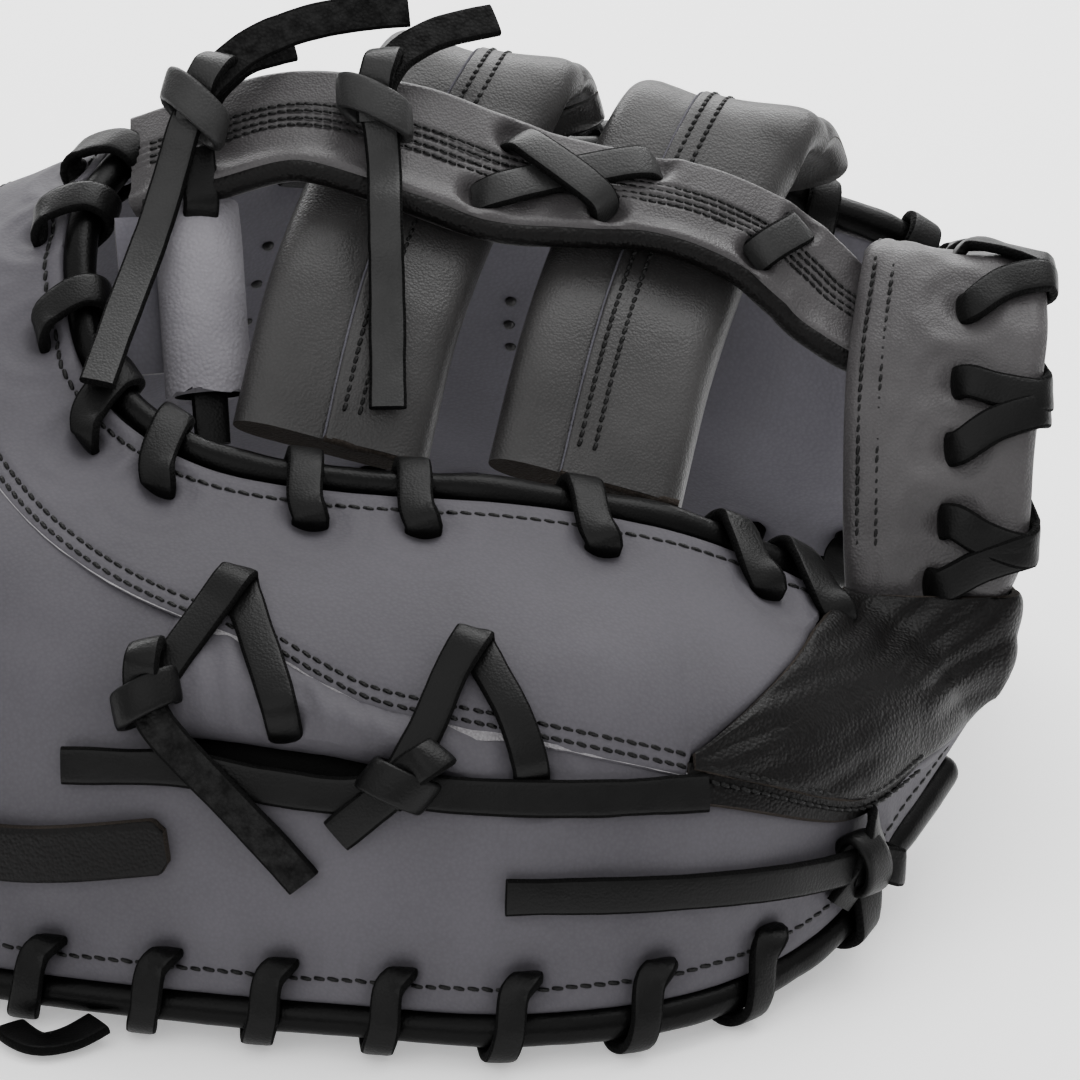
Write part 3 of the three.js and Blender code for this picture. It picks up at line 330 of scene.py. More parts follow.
def wrist_edge(b):
    """Outer border of the back, cut away round the wrist."""
    cut = smooth(b, 8.8, 10.6) * (1 - smooth(b, 13.4, 15.2))
    return np.minimum(from_edge(b), 1 - 0.42 * cut)


# Meshes
class Shape:
    """Closed parts that make one object, each with its own faces and material numbers."""

    def __init__(self):
        self.points, self.faces, self.looks, self.count = [], [], [], 0

    def add(self, points, quads, looks):
        points = np.asarray(points, float).reshape(-1, 3)
        quads = np.asarray(quads)
        a, b, c, d = (points[quads[:, k]] for k in range(4))
        volume = np.sum(a * np.cross(b, c)) + np.sum(a * np.cross(c, d))
        if volume < 0:
            quads = quads[:, ::-1]
        self.points.append(points)
        self.faces.append(quads + self.count)
        self.looks.append(np.broadcast_to(looks, len(quads)))
        self.count += len(points)
        return self


def quads_of(rows, columns, closed=False, start=0):
    i, j = np.meshgrid(np.arange(rows - 1), np.arange(columns if closed else columns - 1), indexing="ij")
    k = (j + 1) % columns
    return start + np.stack([i * columns + j, (i + 1) * columns + j, (i + 1) * columns + k, i * columns + k],
                            -1).reshape(-1, 4)


def slab(shape, outer, inner, looks=(0, 1, 2)):
    """Wall between two point grids: outer face, cut edge, inner face."""
    n, m = outer.shape[:2]
    points = np.concatenate([outer.reshape(-1, 3), inner.reshape(-1, 3)])
    top = quads_of(n, m)
    under = quads_of(n, m, start=n * m)[:, ::-1]
    ring = np.concatenate([
        np.arange(m - 1), np.arange(n - 1) * m + m - 1, (n - 1) * m + np.arange(m - 1, 0, -1),
        np.arange(n - 1, 0, -1) * m,
    ])
    after = np.roll(ring, -1)
    side = np.stack([ring, after, after + n * m, ring + n * m], -1)
    faces = np.concatenate([top, under, side])
    look = np.concatenate([np.full(len(top), looks[0]), np.full(len(under), looks[2]),
                           np.full(len(side), looks[1])])
    return shape.add(points, faces, look)


def tube(shape, rings, looks=0, end_look=None, closed=False):
    """Solid through rings of points, closed at its ends or run round on itself."""
    rings = np.asarray(rings)
    n, m = rings.shape[:2]
    points = rings.reshape(-1, 3)
    if closed:
        faces = quads_of(n + 1, m, closed=True) % (n * m)
        return shape.add(points, faces, np.resize(looks, len(faces)))
    faces = quads_of(n, m, closed=True)
    look = np.resize(looks, len(faces))
    points = np.concatenate([points, rings[0].mean(0)[None], rings[-1].mean(0)[None]])
    j = np.arange(0, m, 2)
    first = np.stack([(j + 2) % m, (j + 1) % m, j, np.full_like(j, n * m)], -1)
    top = (n - 1) * m
    last = np.stack([top + j, top + (j + 1) % m, top + (j + 2) % m, np.full_like(j, n * m + 1)], -1)
    end = (look[0] if end_look is None else end_look)
    faces = np.concatenate([faces, first, last])
    look = np.concatenate([look, np.full(len(first) + len(last), end)])
    return shape.add(points, faces, look)


def section(width, thick, sides, blunt):
    a = np.arange(sides) * 2 * np.pi / sides
    across = np.sign(np.cos(a)) * np.abs(np.cos(a)) ** blunt * width / 2
    through = np.sign(np.sin(a)) * np.abs(np.sin(a)) ** blunt * thick / 2
    return across, through


def rings_along(path, side, n, across, through):
    """Rings of points round a path, from the two coordinates of its section."""
    return path[:, None] + side[:, None] * across[None, :, None] + n[:, None] * through[None, :, None]


def frames(path, faces):
    """Unit tangents, broad-face normals and sides along a path."""
    along = unit(np.gradient(path, axis=0))
    n = unit(faces - along * dot(faces, along))
    return along, n, np.cross(along, n)


def resample(path, step, *others):
    lengths = lengths_along(path)
    count = max(int(round(lengths[-1] / step)), 2)
    at = np.linspace(0, lengths[-1], count + 1)
    out = [np.stack([np.interp(at, lengths, values[:, k]) for k in range(values.shape[1])], -1)
           for values in (path, *others)]
    return out if others else out[0]


def curve(points, faces, step=0.9):
    """Smooth path through anchors, with its broad-face normals, in even steps."""
    points, faces = np.asarray(points, float), np.asarray(faces, float)
    gaps = np.maximum(np.linalg.norm(np.diff(points, axis=0), axis=1), 1e-3) ** 0.5
    knots = np.concatenate([[0], np.cumsum(gaps)])
    padded = np.concatenate([[2 * points[0] - points[1]], points, [2 * points[-1] - points[-2]]])
    times = np.concatenate([[knots[0] - gaps[0]], knots, [knots[-1] + gaps[-1]]])
    out, normals = [], []
    for i in range(1, len(points)):
        t0, t1, t2, t3 = times[i - 1:i + 3]
        p0, p1, p2, p3 = padded[i - 1:i + 3]
        t = np.linspace(t1, t2, 13)[:-1, None]
        a1 = (t1 - t) / (t1 - t0) * p0 + (t - t0) / (t1 - t0) * p1
        a2 = (t2 - t) / (t2 - t1) * p1 + (t - t1) / (t2 - t1) * p2
        a3 = (t3 - t) / (t3 - t2) * p2 + (t - t2) / (t3 - t2) * p3
        b1 = (t2 - t) / (t2 - t0) * a1 + (t - t0) / (t2 - t0) * a2
        b2 = (t3 - t) / (t3 - t1) * a2 + (t - t1) / (t3 - t1) * a3
        out.append((t2 - t) / (t2 - t1) * b1 + (t - t1) / (t2 - t1) * b2)
        share = (t - t1) / (t2 - t1)
        normals.append(faces[i - 1] * (1 - share) + faces[i] * share)
    out.append(points[-1:])
    normals.append(faces[-1:])
    path, normals = resample(np.concatenate(out), step, np.concatenate(normals))
    return path, unit(normals)


LACE_SIDES = 16
FACE, EDGE, SUEDE = 0, 1, 2  # material numbers of a lace: smooth face, cut edge, rough back


def strip(shape, anchors, width=LACE_WIDTH, step=0.9, seed=0, faces_look=(FACE, SUEDE)):
    """Flat lace through anchors of (point, normal of its broad face)."""
    path, faces = curve([a[0] for a in anchors], [a[1] for a in anchors], step)
    _, n, side = frames(path, faces)
    across, through = section(width, LACE_THICK, LACE_SIDES, 0.5)
    swell = 1 + 0.05 * noise(path, 9, seed)[:, None, None] + 0.02 * noise(path, 2.5, seed + 1)[:, None, None]
    rings = (path[:, None] + side[:, None] * across[None, :, None] * swell
             + n[:, None] * through[None, :, None] * (2 - swell))
    edge = np.abs(across) + np.abs(np.roll(across, -1)) > 1.7 * width / 2
    below = (through + np.roll(through, -1)) < 0
    front_look, back_look = faces_look
    look = np.where(edge, EDGE, np.where(below, back_look, front_look))
    return tube(shape, rings, np.tile(look, len(path) - 1), EDGE)


def cord_round(shape, path, radius, sides=18, faces=None, look=0):
    faces = np.broadcast_to(UP, path.shape) if faces is None else faces
    _, n, side = frames(path, faces)
    a = np.arange(sides) * 2 * np.pi / sides
    radius = np.broadcast_to(radius, len(path))[:, None, None]
    rings = path[:, None] + radius * (side[:, None] * np.cos(a)[None, :, None]
                                      + n[:, None] * np.sin(a)[None, :, None])
    return tube(shape, rings, look)


STITCH_SIDES = 6
STITCH_SLANT = 0.16  # lean of a stitch out of its row
STITCH_SINK = 0.12


def stitches(shape, path, faces, pitch, thread=0.42):
    """A row of thread stitches along a path on a surface."""
    path, faces = resample(path, 0.25, faces)
    lengths = lengths_along(path)
    count = max(int(lengths[-1] / pitch), 1)
    ring = np.arange(STITCH_SIDES) * 2 * np.pi / STITCH_SIDES
    for i in range(count):
        at = (i + 0.5) * pitch
        k = min(int(np.searchsorted(lengths, at)), len(path) - 2)
        along = unit(path[min(k + 3, len(path) - 1)] - path[max(k - 3, 0)])
        n = unit(faces[k] - along * np.dot(faces[k], along))
        side = np.cross(along, n)
        along = unit(along + side * STITCH_SLANT)
        side = np.cross(along, n)
        u = np.array([-1, -0.72, 0, 0.72, 1]) * pitch * 0.49
        radius = np.array([0.25, 0.85, 1, 0.85, 0.25]) * thread
        height = np.array([-0.5, 0.1, 0.35, 0.1, -0.5]) * thread - STITCH_SINK
        rings = (path[k] + u[:, None, None] * along + height[:, None, None] * n
                 + radius[:, None, None] * (np.cos(ring)[None, :, None] * side
                                            + 0.9 * np.sin(ring)[None, :, None] * n))
        tube(shape, rings)


# Materials
def node_tree(name):
    material = bpy.data.materials.new(name)
    material.use_nodes = True
    tree = material.node_tree
    tree.nodes.clear()
    output = tree.nodes.new("ShaderNodeOutputMaterial")
    shader = tree.nodes.new("ShaderNodeBsdfPrincipled")
    tree.links.new(shader.outputs["BSDF"], output.inputs["Surface"])
    return material, tree, shader


class Nodes:
    """Short calls for the shader nodes of one leather, laid out by position in the mitt."""

    def __init__(self, tree):
        self.new, self.link = tree.nodes.new, tree.links.new
        self.place = self.new("ShaderNodeTexCoord").outputs["Object"]

    def texture(self, kind, size_mm, detail=0.0):
        node = self.new(kind)
        node.inputs["Scale"].default_value = 1000 / size_mm
        if kind == "ShaderNodeTexNoise":
            node.inputs["Detail"].default_value = detail
        self.link(self.place, node.inputs["Vector"])
        return node

    def ramp(self, source, low, high, a, b):
        node = self.new("ShaderNodeMapRange")
        for key, value in (("From Min", low), ("From Max", high), ("To Min", a), ("To Max", b)):
            node.inputs[key].default_value = value
        self.link(source, node.inputs["Value"])
        return node.outputs["Result"]

    def combine(self, kind, a, b):
        node = self.new("ShaderNodeMath")
        node.operation = kind
        for k, value in enumerate((a, b)):
            if isinstance(value, (int, float)):
                node.inputs[k].default_value = value
            else:
                self.link(value, node.inputs[k])
        return node.outputs[0]

    def creased(self, height, depth):
        fold = self.combine("SUBTRACT", self.texture("ShaderNodeTexNoise", 7, 3.0).outputs["Fac"], 0.5)
        fold = self.ramp(self.combine("ABSOLUTE", fold, 0.0), 0.0, 0.04, 0.0, depth)
        return self.combine("ADD", height, fold)

    def bumped(self, height, strength):
        node = self.new("ShaderNodeBump")
        node.inputs["Strength"].default_value = strength
        node.inputs["Distance"].default_value = 0.0003
        self.link(height, node.inputs["Height"])
        return node.outputs["Normal"]

    def mixed(self, share, dark, light):
        node = self.new("ShaderNodeMix")
        node.data_type = "RGBA"
        node.inputs["A"].default_value = (*dark, 1)
        node.inputs["B"].default_value = (*light, 1)
        self.link(share, node.inputs["Factor"])
        return node.outputs["Result"]


def leather(name, dark, light, rough, grain, bump, patch=24, specular=0.3, creases=0.0):
    """Leather with pebbled grain and creases, in a colour that wanders slightly; sizes in millimetres."""
    material, tree, shader = node_tree(name)
    nodes = Nodes(tree)
    pebble = nodes.ramp(nodes.texture("ShaderNodeTexVoronoi", grain).outputs["Distance"], 0.0, 0.8, 1.0, 0.0)
    height = nodes.creased(pebble, creases) if creases else pebble
    nodes.link(nodes.bumped(height, bump), shader.inputs["Normal"])
    cloud = nodes.texture("ShaderNodeTexNoise", patch, 2.0).outputs["Fac"]
    tint = nodes.ramp(cloud, 0.3, 0.7, 0.0, 0.75)
    tint = nodes.combine("ADD", tint, nodes.combine("MULTIPLY", pebble, 0.3))
    nodes.link(nodes.mixed(tint, dark, light), shader.inputs["Base Color"])
    nodes.link(nodes.ramp(cloud, 0.3, 0.7, rough - 0.05, rough + 0.06), shader.inputs["Roughness"])
    shader.inputs["Specular IOR Level"].default_value = specular
    return material


def grey(value, blue=0.0, red=0.0):
    """Linear colour from an sRGB level, tinted slightly."""
    def linear(v):
        v = max(v, 0) / 255
        return ((v + 0.055) / 1.055) ** 2.4 if v > 0.04045 else v / 12.92
    return (linear(value + red), linear(value), linear(value + blue))


# Each with its darkest and lightest colour, roughness, grain and bump
GREY = leather("grey_leather", grey(56, 5, 2), grey(72, 5, 2), 0.7, 0.7, 0.16, patch=30)
# Grey leather made lighter for the palm shell and the web flap, which lie in shade in the pocket: the extra
# lightness is painted light
LIT_POCKET = leather("pocket_leather_lit", grey(78, 7, 2), grey(98, 7, 2), 0.7, 0.8, 0.2, patch=30)
PALE_SUEDE = leather("pale_suede", grey(104, 5, 2), grey(124, 5, 2), 0.9, 0.7, 0.5, 12, 0.1)
BLACK = leather("black_leather", grey(44, 1, 2), grey(64, 1, 2), 0.44, 0.5, 0.28, creases=0.1)
PATCH = leather("patch_leather", grey(3, 0, 1), grey(7, 0, 1), 0.46, 0.7, 0.4, specular=0.13, creases=0.3)
BAR = leather("bar_leather", grey(27, 0, 1), grey(47, 0, 1), 0.42, 0.5, 0.26, creases=0.1)
WELT = leather("welt_leather", grey(2), grey(3), 0.36, 0.5, 0.12, specular=0.1)
LACE = leather("lace_leather", grey(4), grey(9), 0.42, 0.5, 0.16, 7, 0.14)
# Lighter copy of the lace leather for the post laces and the ties on top of the web: painted light where the
# light falls on them
LACE_LIT = leather("lace_leather_lit", grey(22), grey(36), 0.46, 0.5, 0.2, 7, 0.25)
LACE_EDGE = leather("lace_edge", grey(3), grey(7), 0.85, 0.6, 0.7, 5, 0.08)
LACE_SUEDE = leather("lace_suede", grey(9), grey(34), 0.9, 0.7, 1.0, 2.5, 0.06)
RAW = leather("raw_edge", grey(96, 3, 2), grey(150, 2, 2), 0.9, 0.6, 0.8, specular=0.1)
RAW_BROWN = leather("raw_edge_brown", grey(26, -3, 4), grey(48, -4, 5), 0.9, 0.6, 0.8, specular=0.1)
FLESH = leather("flesh_side", grey(62, 6, 1), grey(80, 6, 1), 0.85, 0.7, 0.5, specular=0.1)
DARK = leather("inner_black", grey(3), grey(6), 0.8, 0.8, 0.3, specular=0.1)
THREAD = leather("thread", grey(2), grey(5), 0.5, 0.4, 0.3, specular=0.2)

# Colour slot of a piece, by its first material
SLOT = {
    **dict.fromkeys([GREY, FLESH, LIT_POCKET, PALE_SUEDE, RAW], "grey_leather"),
    **dict.fromkeys([BLACK, PATCH, DARK], "black_leather"),
    **dict.fromkeys([LACE, LACE_LIT, THREAD], "lace_leather"),
    BAR: "bar_leather",
    WELT: "welt_leather",
}

# Materials of a piece: outer face, cut edge, inner face
UPPER_LOOKS = [GREY, GREY, FLESH]
LEATHER_LOOKS = [GREY, RAW, FLESH]
LIT_POCKET_LOOKS = [LIT_POCKET, RAW, FLESH]
BLACK_LOOKS = [BLACK, BLACK, DARK]
PATCH_LOOKS = [PATCH, RAW_BROWN, DARK]
LACE_LOOKS = [LACE, LACE_EDGE, LACE_SUEDE]
# Laces on top of the web, in the lace leather lightened as painted light
LIT_LACE_LOOKS = [LACE_LIT, LACE_EDGE, LACE_SUEDE]

SHARP_ANGLE = 55  # degrees between faces that stay a sharp edge


def placed(name, data):
    """Object of some data, in the scene."""
    thing = bpy.data.objects.new(name, data)
    bpy.context.scene.collection.objects.link(thing)
    return thing


def build(name, shape, materials, *nodes):
    """Blender object of a shape, riding on the mitt, in the row frame and in metres."""
    points = (np.concatenate(shape.points) - ORIGIN) / 1000
    faces = np.concatenate(shape.faces)
    mesh = bpy.data.meshes.new(name)
    mesh.from_pydata(points.tolist(), [], faces.tolist())
    for material in materials:
        mesh.materials.append(material)
    mesh.polygons.foreach_set("material_index", np.concatenate(shape.looks).astype(np.int32))
    mesh.polygons.foreach_set("use_smooth", np.ones(len(faces), bool))
    mesh.validate()
    mesh.set_sharp_from_angle(angle=math.radians(SHARP_ANGLE))
    mesh.update()
    piece = placed(name, mesh)
    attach(piece, "root")
    if nodes:
        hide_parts(*nodes)

# Laces
HOLES = []  # where a lace goes into leather: point and radius
HOLE_RADIUS = 3.6
LACE_PLUNGE = 4.5  # how deep a lace goes in through its hole


class WeltEdge:
    """Where a lace runs on an edge of the mitt: in front, behind, and round the welt."""

    def __init__(self, outer, step=0.0):
        self.outer, self.step = outer, step
        self.at = 1.0 if outer else 0.0
        self.middle = outer_edge if outer else inner_edge

    def share(self, b, mm):
        return 1 - mm / span(b) if self.outer else mm / span(b)

    def tangent(self, b):
        return unit(self.middle(b + 0.05) - self.middle(b - 0.05))

    def up(self, b):
        n, t = outward(b, self.at), self.tangent(b)
        return unit(n - t * dot(n, t))

    def away(self, b):
        toward = chord(b, self.at) - chord(b, 0.9 if self.outer else 0.1)
        away = unit(np.cross(self.tangent(b), self.up(b)))
        return -away if np.dot(away, toward) < 0 else away

    def front(self, b, mm, lift):
        return back(b, self.share(b, mm), lift + self.step)

    def behind(self, b, mm, lift):
        return palm(b, self.share(b, mm), lift)



def whip(holes, edge, lean, inset):
    """Anchors of a lace whipped round an edge through a row of holes."""
    anchors = []
    for i, q in enumerate(holes):
        speed = np.linalg.norm(edge.middle(q + 0.05) - edge.middle(q - 0.05)) / 0.1

        def at(share):
            return q + lean * share / speed

        def passing(surface, share, sign):
            out = edge.up(at(share)) * sign
            inward = -edge.away(at(share))
            half = (share + 0.5) / 2
            HOLES.append((surface(at(share), inset, 0.0), HOLE_RADIUS))
            return [
                (surface(at(half), inset * 0.55, RIDE + 0.9), out),
                (surface(at(share), inset - 1.2, 0.9), unit(out + inward)),
                (surface(at(share), inset + 0.4, -LACE_PLUNGE), inward),
            ]

        def on_edge(degrees, share):
            angle = math.radians(degrees)
            n = edge.up(at(share)) * math.sin(angle) + edge.away(at(share)) * math.cos(angle)
            return edge.middle(at(share)) + n * (WELT_RADIUS + RIDE + 0.1), n

        anchors += passing(edge.front, 0, 1)[::-1]
        anchors += [on_edge(64, 0.35), on_edge(22, 0.45), on_edge(-22, 0.55), on_edge(-64, 0.65)]
        anchors += passing(edge.behind, 1, -1)
        if i < len(holes) - 1:
            midway = (at(1) + holes[i + 1]) / 2
            between = (edge.front(midway, inset + 4, 0) + edge.behind(midway, inset + 4, 0)) / 2
            anchors.append((between, edge.up(midway)))
    return anchors


def evenly(edge, start, end, pitch):
    fine = np.linspace(start, end, 201)
    lengths = lengths_along(edge(fine))
    count = int(round(lengths[-1] / pitch))
    return [float(np.interp(want, lengths, fine)) for want in np.linspace(0, lengths[-1], count + 1)]


OUTER = WeltEdge(True)
THUMB_WEB, FINGER_WEB = WeltEdge(False, SEAM_STEP), WeltEdge(False)
FINGER_EDGE_HOLES = evenly(outer_edge, 15.2, 20.3, LACE_PITCH)
FINGER_WEB_HOLES = evenly(inner_edge, 14.8, 20.1, LACE_PITCH)

# Name, holes, edge, lean along the edge in mm, inset of the holes, width of the lace
WHIPPED = [
    ("lace_thumb_edge", THUMB_EDGE_HOLES, OUTER, 9, EDGE_INSET, EDGE_LACE_WIDTH),
    ("lace_finger_edge", FINGER_EDGE_HOLES, OUTER, 6, EDGE_INSET, EDGE_LACE_WIDTH),
    ("lace_web_thumb", THUMB_WEB_HOLES, THUMB_WEB, 5, HOLE_INSET, LACE_WIDTH),
    ("lace_web_crotch", CROTCH_HOLES, THUMB_WEB, 3, CROTCH_INSET, LACE_WIDTH),
    ("lace_web_finger", FINGER_WEB_HOLES, FINGER_WEB, 5, HOLE_INSET, LACE_WIDTH),
]
for seed, (name, holes, edge, lean, inset, width) in enumerate(WHIPPED):
    build(name, strip(Shape(), whip(holes, edge, lean, inset), width, seed=seed), LACE_LOOKS, name)


# Rim of the web and the lace wound round it
def rim_point(at, across):
    row = spline(RIM, at)
    across = np.asarray(across, float)[..., None]
    return row[..., 0:3] * (1 - across) + row[..., 3:6] * across


def rim_frame(at):
    side = unit(rim_point(at, 1.0) - rim_point(at, 0.0))
    along = rim_point(at + 0.05, 0.5) - rim_point(at - 0.05, 0.5)
    return side, unit(np.cross(side, along))


def rim_width(at):
    return np.linalg.norm(rim_point(at, 1.0) - rim_point(at, 0.0), axis=-1)


def rim_face(at, mm, lift, sign=1):
    return rim_point(at, 1 - mm / rim_width(at)) + rim_frame(at)[1] * sign * (RIM_THICK / 2 + lift)


def wind_rim():
    anchors = []
    for i, q in enumerate(RIM_HOLES):
        following = RIM_HOLES[i + 1] if i < len(RIM_HOLES) - 1 else q + 0.6
        lean = RIM_LEAN[i % 2]
        side, n = rim_frame(q)

        def around(degrees, share):
            at = q + lean + (following - q - lean) * share
            side_, n_ = rim_frame(at)
            angle = math.radians(degrees)
            out = n_ * math.sin(angle) + side_ * math.cos(angle)
            return rim_point(at, 1 - RIM_THICK / 2 / rim_width(at)) + out * (RIM_THICK / 2 + RIDE + 0.2), out

        anchors.append((rim_face(q, RIM_INSET - 2, RIDE + 0.2, -1), unit(-n - side * 0.4)))
        anchors.append((rim_face(q, RIM_INSET, -RIM_THICK / 2), -side))
        anchors.append((rim_face(q, RIM_INSET - 2, RIDE + 0.2), unit(n - side * 0.4)))
        anchors.append((rim_face(q + lean * 0.6, RIM_INSET / 2, RIDE + 0.6), n))
        anchors += [around(55, 0.0), around(0, 0.08), around(-55, 0.2)]
        on = q + (following - q) * 0.65
        anchors.append((rim_face(on, 6.6, RIDE + 0.4, -1), -rim_frame(on)[1]))
        HOLES.append((rim_face(q, RIM_INSET, 0), HOLE_RADIUS))
    return anchors


build("lace_rim", strip(Shape(), wind_rim(), seed=9), LACE_LOOKS, "lace_rim")


# Post of the web
POST_FACE = unit(np.array([0, -0.55, 0.83]))  # the way its broad face looks


def post_frame(at):
    row = spline(POST, at)
    along = unit(spline(POST, at + 0.05)[..., :3] - spline(POST, at - 0.05)[..., :3])
    n = unit(POST_FACE - along * dot(np.broadcast_to(POST_FACE, along.shape), along))
    return row[..., :3], n, np.cross(n, along), row[..., 3]


def post_skin(at, across, lift):
    p, n, side, width = post_frame(np.asarray(at, float))
    across = np.asarray(across, float)
    return (p + side * (across * width / 2)[..., None]
            + n * np.asarray(POST_THICK / 2 + lift, float)[..., None])


def on_post(rows):
    """Anchors on the post from rows of place along, place across and height."""
    return [(post_skin(at, across, RIDE + up), post_frame(np.asarray(at, float))[1])
            for at, across, up in rows]


POST_LACES = {
    "lace_post_cross_under": [(6.15, 0.69, -3.2), (5.98, 0.58, 0.3), (4.95, 0.05, 0.2), (3.97, -0.41, 0.3),
                              (3.8, -0.49, -3.2)],
    "lace_post_cross_over": [(4.05, 0.6, -3.2), (4.17, 0.51, 0.4), (4.48, 0.31, 2.4), (5.28, -0.2, 2.6),
                             (5.48, -0.35, 0.9), (5.58, -0.46, -3.2)],
    "lace_post_loop": [(8.42, 0.66, -3.2), (8.38, 0.45, 0.4), (8.1, -0.25, 0.4), (8, -0.46, -3.2)],
}
POST_HOLES = []
for seed, (name, rows) in enumerate(POST_LACES.items()):
    build(name, strip(Shape(), on_post(rows), step=0.6, seed=20 + seed), LIT_LACE_LOOKS, name)
    POST_HOLES += [post_skin(rows[0][0], rows[0][1], 0.0), post_skin(rows[-1][0], rows[-1][1], 0.0)]


# Knots and their tails
def band_round(shape, centre, axis, n, wide, deep, tilt):
    """Closed turn of lace round an axis."""
    axis = unit(np.asarray(axis, float))
    n = unit(n - axis * np.dot(n, axis))
    side = np.cross(axis, n)
    t = np.linspace(0, 2 * np.pi, 40, endpoint=False)[:, None]
    path = centre + side * np.cos(t) * wide + n * np.sin(t) * deep + axis * tilt * np.cos(t)
    out = unit(side * np.cos(t) * deep + n * np.sin(t) * wide)
    along = unit(np.roll(path, -1, 0) - np.roll(path, 1, 0))
    out = unit(out - along * dot(out, along))
    across, through = section(LACE_WIDTH, LACE_THICK, LACE_SIDES, 0.5)
    side = np.cross(along, out)
    return tube(shape, rings_along(path, side, out, across, through), closed=True)


def knot(shape, centre, axis, n, size=1.0, seed=0, tilt=1.4):
    """Overhand knot: a turn round the strands and an arch over its head; axis points down the tail."""
    axis = unit(np.asarray(axis, float))
    n = unit(n - axis * np.dot(n, axis))
    side = np.cross(axis, n)
    band_round(shape, centre, axis, n, 5.4 * size, 3.8 * size, tilt)
    head = [(centre + axis * 3 + n * 0.6, n), (centre - axis * 2.6 + n * 2.2, n),
            (centre + (n * 3.9 - side * 1.2 - axis * 6.4) * size, unit(n - axis * 0.6)),
            (centre + (n * 1.2 - side * 2.2 - axis * 9.2) * size, -axis),
            (centre + (-n * 2.6 - side * 1.6 - axis * 7.6) * size, unit(-n - axis)),
            (centre - axis * 1 - n * 3, -n)]
    return strip(shape, head, step=0.5, seed=seed)


def lying(rows):
    """Anchors on the back skin from rows of station, share and height."""
    return [(back(b, r, RIDE + up), normal_of(back, b, r)) for b, r, up in rows]


def flat_end(shape, rows, seed, faces_look=(FACE, SUEDE)):
    return strip(shape, lying(rows), seed=seed, faces_look=faces_look)


def free_end(shape, points, n, seed, faces_look=(FACE, SUEDE)):
    """End of a lace that stands or hangs clear of the leather, through points in millimetres."""
    points = np.asarray(points, float)
    at = np.linspace(0, len(points) - 1, int(math.ceil(len(points) * 1.5)) + 1)
    n = unit(np.asarray(n, float))
    return strip(shape, [(spline(points, t), n) for t in at], seed=seed, faces_look=faces_look)


def folded(up_leg, tip, down_leg, seed):
    """Lace that lies up to a fold and comes back down under itself into a hole."""
    rising = lying(up_leg)
    b, r, up = tip
    top = back(b, r, RIDE + up)
    over = [(top, unit(top - rising[-1][0]))]
    falling = [(p, -n) for p, n in lying(down_leg)]
    return strip(Shape(), rising + over + falling, step=0.5, seed=seed, faces_look=(FACE, FACE))


def tie_thumb_heel():
    tie = folded([(7.1, 0.51, 2.4), (6.95, 0.41, 1.6), (6.8, 0.315, 2.4), (6.71, 0.262, 3.9)],
                 (6.68, 0.243, 2.1),
                 [(6.675, 0.26, 0.4), (6.6, 0.31, 0.4), (6.43, 0.42, 1.5), (6.36, 0.47, 2.5),
                  (6.31, 0.512, 2.9), (6.285, 0.54, 0.6), (6.28, 0.55, -4)], 31)
    down = back(7.0, 0.6, 0) - back(7.12, 0.5, 0)
    knot(tie, back(7.1, 0.512, 3.2), down, normal_of(back, 7.1, 0.5), seed=33)
    tail = [(7.1, 0.52, 3.2), (6.98, 0.565, 3.6), (6.55, 0.68, 2.4), (6.3, 0.75, 0.8), (6.16, 0.793, 0.2)]
    flat_end(tie, tail, 34, (SUEDE, FACE))
    build("tie_thumb_heel", tie, LACE_LOOKS, "tie_thumb_heel")


def tie_thumb_tip():
    tie = folded([(5.6, 0.62, 2.4), (5.46, 0.53, 1.8), (5.34, 0.425, 2.4), (5.25, 0.366, 3.9)],
                 (5.22, 0.347, 2.1),
                 [(5.215, 0.364, 0.4), (5.16, 0.41, 0.4), (5.05, 0.5, 0.7), (4.98, 0.585, 0.2),
                  (4.96, 0.62, -4)], 41)
    down = back(5.75, 0.68, 0) - back(5.5, 0.58, 0)
    knot(tie, back(5.61, 0.632, 3.2), down, normal_of(back, 5.61, 0.63), seed=43)
    to_heel = [(5.66, 0.635, 1.0), (5.9, 0.648, 0.2), (6.35, 0.64, 0), (6.86, 0.622, 0), (7.2, 0.63, 0),
               (7.59, 0.643, 0)]
    to_tip = [(5.56, 0.635, 1.0), (5.3, 0.64, 0.1), (4.7, 0.642, 0.1), (4.1, 0.633, 0.2)]
    stub = [(5.62, 0.64, 3.2), (5.8, 0.68, 2), (5.97, 0.715, 0.6)]
    for seed, rows in ((44, to_heel), (45, to_tip), (46, stub)):
        flat_end(tie, rows, seed)
    build("tie_thumb_tip", tie, LACE_LOOKS, "tie_thumb_tip")


def tie_edge():
    tie = strip(Shape(), whip([EDGE_TIE_HOLE], OUTER, 5, EDGE_INSET), seed=81)
    strand = [(3.02, 0.93, 0.5), (2.93, 0.9, 2.2), (2.84, 0.85, 4.4), (2.78, 0.8, 2.6), (2.74, 0.78, 0.4)]
    flat_end(tie, strand, 82)
    down = back(3.2, 0.84, 0) - back(2.8, 0.87, 0)
    knot(tie, back(2.87, 0.864, 3.4), down, normal_of(back, 2.87, 0.86), seed=83)
    tail = [(2.92, 0.86, 2.6), (3.3, 0.83, 1.6), (3.75, 0.812, 0.8), (4.37, 0.803, 0.5), (5.09, 0.801, 0.4)]
    flat_end(tie, tail, 84)
    build("tie_edge", tie, LACE_LOOKS, "tie_edge")


CROTCH_TIE = [-9.3, 113.9, 131.0]
POST_TIE = [23.9, 113.4, 131.9]


